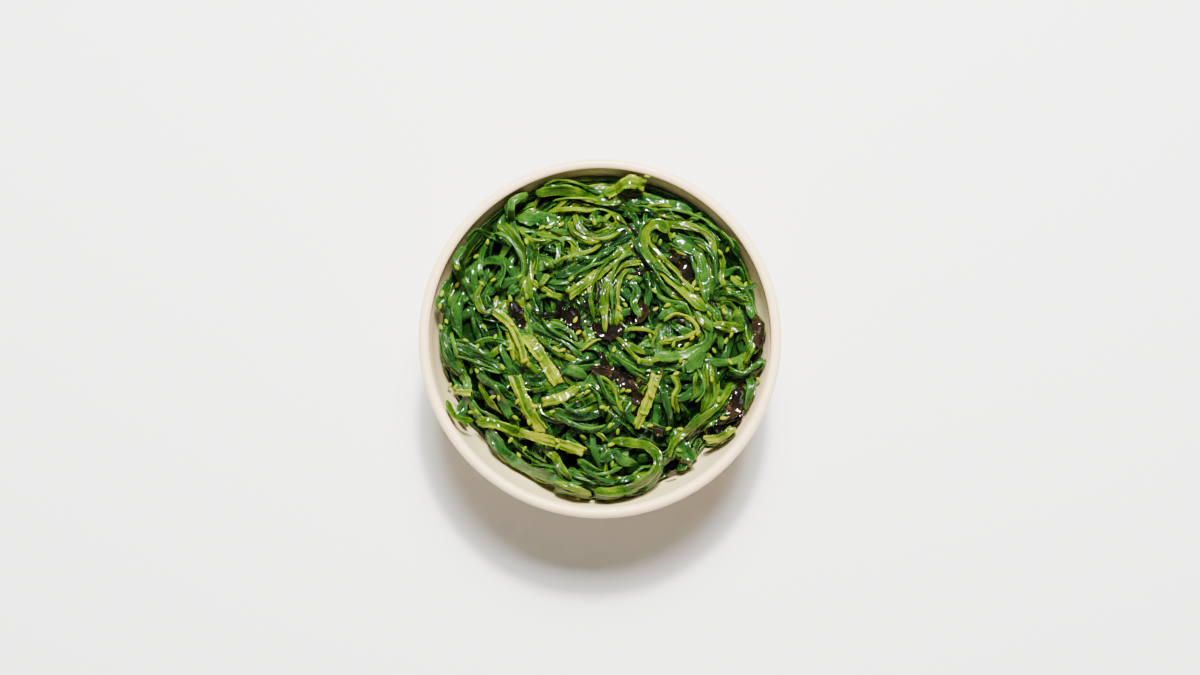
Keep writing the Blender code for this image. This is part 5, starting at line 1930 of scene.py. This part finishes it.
    def build_seeds(self) -> None:
        """Sesame seeds on the strands.

        A seed is a drop along its length: its half width follows a power of a sine that leans
        to its blunt end, and its height is a share of that. It lies on the slope that is under it.
        """
        draw = np.random.default_rng(3)
        stations, around = 7, 8
        u = np.linspace(0.06, 0.94, stations)
        theta = FULL_TURN * np.arange(around) / around
        girth = np.sin(math.pi * u**0.8) ** 0.65
        local_x = np.repeat(((u - 0.5) * self.seed_length)[:, None], around, axis=1)
        local_y = 0.5 * self.seed_width * girth[:, None] * np.cos(theta)
        local_z = 0.5 * self.seed_height * girth[:, None] * np.sin(theta)
        surfaces = []
        for x, y in self.heap.plan_of_seen(SEED_PLACES):
            size = draw.uniform(0.88, 1.1)
            centre, along, across = self.lie_of_seed(x, y, draw.uniform(0, FULL_TURN))
            up = unit(np.cross(along, across))
            points = centre + size * (local_x[..., None] * along + local_y[..., None] * across
                                      + local_z[..., None] * up)
            surfaces.append(Surface(points, draw.uniform(0.0, 1.0), np.zeros(points.shape[:2])))
        piece = mesh_of("sesame_seeds", surfaces)
        piece.data.materials.append(SeedFinish().material(self.groups))
        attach(piece, BODY)
        LOG.info("sesame seeds: %d", len(surfaces))

    def lie_of_seed(self, x: float, y: float, turn: float) -> tuple[np.ndarray, np.ndarray, np.ndarray]:
        """How a seed lies on the strands, tilted to the slope under its ends and its sides.

        Args:
            x: its plan place.
            y: its plan place.
            turn: its heading in radians.

        Returns:
            Its centre, and the unit vectors along it and across it.
        """
        reach, side_reach, steepest = 1.2, 0.72, 0.5
        ahead = np.array([math.cos(turn), math.sin(turn)])
        side = np.array([-ahead[1], ahead[0]])
        span, side_span = np.array([-reach, reach]), np.array([-side_reach, side_reach])
        fore = self.relief.at(x + span * ahead[0], y + span * ahead[1])
        flank = self.relief.at(x + side_span * side[0], y + side_span * side[1])
        pitch = float(np.clip((fore[1] - fore[0]) / (2 * reach), -steepest, steepest))
        bank = float(np.clip((flank[1] - flank[0]) / (2 * side_reach), -steepest, steepest))
        height = max(float(self.relief.at(np.array([x]), np.array([y]))[0]), float(fore.mean()))
        along, across = unit(np.array([*ahead, pitch])), unit(np.array([*side, bank]))
        return np.array([x, y, height + self.seed_clearance]), along, across


def form_of(strand: Strand) -> Form:
    """The form of a strand by what it is.

    Args:
        strand: the strand.

    Returns:
        Its form.
    """
    if strand.kind is Kind.EAR:
        return EAR_FORM
    if strand.kind is Kind.PALE:
        return SLICE_FORM
    return LEAF_FORM if strand.width > 5.0 else FROND_FORM


@dataclass(frozen=True)
class SeedFinish:
    """Sesame seeds stained yellow-green by the dressing, under a thin wet film."""

    green: tuple = (0.062, 0.130, 0.0001, 1)
    yellow: tuple = (0.112, 0.168, 0.0001, 1)
    orange: tuple = (0.180, 0.165, 0.0001, 1)

    def material(self, groups: Groups) -> bpy.types.Material:
        """A Principled material whose colour goes from green over yellow to orange by the seed's tone.

        Args:
            groups: the shared node groups.

        Returns:
            The material.
        """
        made, tree, shader = new_material("sesame_wet")
        tint = groups.place(tree, groups.tint, {
            "Deep": self.green, "Main": self.yellow, "Light": self.orange, "Painted Edge Glow": 0.0, "Streak": 0.0,
        })
        tree.links.new(tint.outputs["Color"], shader.inputs["Base Color"])
        set_values(shader, {
            "Roughness": 0.40, "Specular IOR Level": 0.15, "Subsurface Weight": 0.2,
            "Subsurface Radius": (0.0008, 0.0006, 0.0002), "Subsurface Scale": 1.0, "Coat Weight": 0.08,
            "Coat Roughness": 0.06,
        })
        return made


@dataclass(frozen=True)
class BowlFinish:
    """Smooth cream ware with faint specks and a satin skin. A film low on its inner wall is partly dressing
    and partly painted shade with greenish bounce light from the salad, and painted shade lies towards the
    left of the inner wall.
    """

    cream: tuple = (0.80, 0.60, 0.34, 1)
    shade: tuple = (0.76, 0.55, 0.28, 1)
    # Film colour: partly dressing, partly painted shade and painted bounce light near the salad.
    dressing_and_shade: tuple = (0.43, 0.43, 0.18, 1)
    # Painted shade on the left of the inner wall.
    painted_shade: tuple = (0.44, 0.34, 0.18, 1)
    speck: tuple = (0.45, 0.34, 0.24, 1)
    roughness: float = 0.42
    speck_share: float = 0.45
    dressing_and_shade_share: float = 0.48
    painted_shade_share: float = 0.8

    def material(self, groups: Groups) -> bpy.types.Material:
        """A Principled material with slow clouds of colour, fine specks and a slight unevenness.

        The film is in patches on the inner wall and fades out with the height up to the rim. It is partly
        dressing and partly painted shade, and its green tint paints light bounced off the salad.
        A brown painted shade deepens towards the left of the inner wall, where the steep wall is in shade.

        Args:
            groups: the shared node groups.

        Returns:
            The material.
        """
        made, tree, shader = new_material("cream_ware")
        place = tree.nodes.new("ShaderNodeTexCoord").outputs["Object"]
        clouds = groups.noise(tree, place, 28.0, 3.0)
        grain = groups.noise(tree, place, 1400.0, 3.0, 0.7)
        specks = groups.math(tree, "MULTIPLY_ADD", grain, 9.0, -5.9, clamp=True)
        base = groups.mix(tree, clouds, self.cream, self.shade)
        speckled = groups.mix(tree, groups.math(tree, "MULTIPLY", specks, self.speck_share), base, self.speck)
        parts = tree.nodes.new("ShaderNodeSeparateXYZ")
        tree.links.new(place, parts.inputs["Vector"])
        squares = groups.math(tree, "MULTIPLY", parts.outputs["X"], parts.outputs["X"])
        squares = groups.math(tree, "MULTIPLY_ADD", parts.outputs["Y"], parts.outputs["Y"], squares)
        radius = groups.math(tree, "SQRT", squares, 0.0)
        # Film on the low inner wall: partly dressing, partly painted shade and painted green bounce light
        # near the salad.
        within = groups.math(tree, "MULTIPLY_ADD", radius, -400.0, 24.5, clamp=True)
        low = groups.math(tree, "MULTIPLY_ADD", parts.outputs["Z"], -160.0, 8.2, clamp=True)
        inside = tree.nodes.new("ShaderNodeAttribute")
        inside.attribute_name = "edge"
        low = groups.math(tree, "MULTIPLY", low, inside.outputs["Fac"])
        patches = groups.noise(tree, place, 90.0, 3.0)
        patches = groups.math(tree, "MULTIPLY_ADD", patches, 3.2, -1.15, clamp=True)
        patches = groups.math(tree, "ADD", patches, 0.9)
        film = groups.math(tree, "MULTIPLY", groups.math(tree, "MULTIPLY", within, low), patches)
        film = groups.math(tree, "MULTIPLY", film, self.dressing_and_shade_share)
        # Painted shade: the inner wall darkens towards the left.
        left = groups.math(tree, "MULTIPLY_ADD", parts.outputs["X"], -24.0, -0.5, clamp=True)
        left = groups.math(tree, "MULTIPLY", left, inside.outputs["Fac"])
        left = groups.math(tree, "MULTIPLY", left, self.painted_shade_share)
        with_painted_shade = groups.mix(tree, left, speckled, self.painted_shade)
        tree.links.new(groups.mix(tree, film, with_painted_shade, self.dressing_and_shade), shader.inputs["Base Color"])
        roughness = groups.math(tree, "MULTIPLY_ADD", grain, 0.16, self.roughness - 0.08)
        tree.links.new(roughness, shader.inputs["Roughness"])
        rough(tree, shader, groups.math(tree, "ADD", clouds, grain), 0.15, 0.0002)
        set_values(shader, {
            "Subsurface Weight": 0.08, "Subsurface Radius": (0.002, 0.0014, 0.001), "Subsurface Scale": 1.0,
            "Coat Weight": 0.25, "Coat Roughness": 0.25,
        })
        return made


@dataclass
class Bowl:
    """The cream bowl, turned round the Z axis."""

    shape: BowlShape
    groups: Groups

    def build(self) -> None:
        """Turns the half section round the axis, and replaces the bowl's solid."""
        profile = self.shape.profile()
        theta = FULL_TURN * np.arange(self.shape.sides) / self.shape.sides
        radius, height = profile[:, :1], profile[:, 1:]
        points = rows(radius * np.cos(theta), radius * np.sin(theta), height + 0.0 * theta)
        inside = np.arange(len(profile)) >= len(profile) - self.shape.inner_points
        inner_wall = inside[:, None] + 0.0 * points[..., 0]
        piece = mesh_of("bowl_fine", [Surface(points, 0.5, inner_wall)])
        piece.data.materials.append(BowlFinish().material(self.groups))
        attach(piece, BODY)
        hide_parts("bowl")
        LOG.info("bowl: %d faces", len(piece.data.polygons))


@dataclass
class Studio:
    """The floor, the lights and the camera. Lengths are in metres."""

    look_at: tuple = (0.0, -0.0006, 0.050)
    distance: float = 0.597
    elevation: float = 82.0
    lens: float = 50.0
    key_power: float = 91.0
    crisp_share: float = 0.45
    crisp_size: float = 0.09
    soft_size: float = 0.42
    key_distance: float = 1.1
    key_elevation: float = 63.0
    key_colour: tuple = (1.0, 0.98, 0.95)
    floor_half: float = 2.0
    floor_colour: tuple = (0.80, 0.80, 0.80, 1)
    world_colour: tuple = (1.0, 0.97, 0.92, 1)
    world_strength: float = 0.15

    def build(self) -> None:
        """Sets up the floor, the world, the lights and the camera."""
        self.build_floor()
        self.build_world()
        target = Vector(self.look_at)
        rise = math.radians(self.key_elevation)
        key = target + self.key_distance * Vector((0.05, math.cos(rise), math.sin(rise)))
        self.area("key_crisp", key, self.crisp_size, self.crisp_share * self.key_power, self.key_colour)
        soft_power = (1 - self.crisp_share) * self.key_power
        soft = self.area("key_soft", key, self.soft_size, soft_power, self.key_colour)
        soft.visible_glossy = False
        self.area("fill_front", target + Vector((0.3, -0.9, 0.9)), 1.2, 1.0, (1.0, 0.98, 0.94))
        self.area("fill_left", target + Vector((-1.0, 0.1, 0.7)), 0.5, 1.5, (1.0, 0.99, 0.96))
        self.build_camera()

    def build_floor(self) -> None:
        """A plain pale floor."""
        side = self.floor_half / MM
        corners = np.array([(-side, -side, 0.0), (side, -side, 0.0), (side, side, 0.0), (-side, side, 0.0)])
        floor = object_of("floor", corners, [np.array([[0, 1, 2, 3]])])
        made, _, shader = new_material("pale_floor")
        set_values(shader, {"Base Color": self.floor_colour, "Roughness": 0.7})
        floor.data.materials.append(made)

    def build_world(self) -> None:
        """An even pale surround."""
        world = bpy.data.worlds.new("studio")
        bpy.context.scene.world = world
        world.use_nodes = True
        background = world.node_tree.nodes["Background"]
        set_values(background, {"Color": self.world_colour, "Strength": self.world_strength})

    def area(self, name: str, place: Vector, size: float, power: float, colour: tuple) -> bpy.types.Object:
        """A square area light that faces the bowl.

        Args:
            name: its name.
            place: where it hangs.
            size: its side.
            power: its power in watts.
            colour: its colour.

        Returns:
            The light.
        """
        light = bpy.data.lights.new(name, "AREA")
        light.shape = "SQUARE"
        light.size = size
        light.energy = power
        light.color = colour
        lamp = bpy.data.objects.new(name, light)
        lamp.location = place
        lamp.rotation_euler = (Vector(self.look_at) - place).to_track_quat("-Z", "Y").to_euler()
        bpy.context.scene.collection.objects.link(lamp)
        return lamp

    def build_camera(self) -> None:
        """The camera, a little to the front of straight above."""
        rise = math.radians(self.elevation)
        target = Vector(self.look_at)
        place = target + self.distance * Vector((0.0, -math.cos(rise), math.sin(rise)))
        data = bpy.data.cameras.new("camera")
        data.lens = self.lens
        data.sensor_width = 36.0
        camera = bpy.data.objects.new("camera", data)
        camera.location = place
        camera.rotation_euler = (target - place).to_track_quat("-Z", "Y").to_euler()
        bpy.context.scene.collection.objects.link(camera)
        bpy.context.scene.camera = camera


def main() -> None:
    """Builds the studio, the bowl and the salad."""
    logging.basicConfig(level=logging.INFO, format="%(message)s")
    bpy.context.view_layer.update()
    Studio().build()
    groups = Groups()
    Bowl(BOWL, groups).build()
    Salad(Heap(BOWL), groups).build()
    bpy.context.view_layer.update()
    LOG.info("boxes written")


if __name__ == "__main__":
    main()
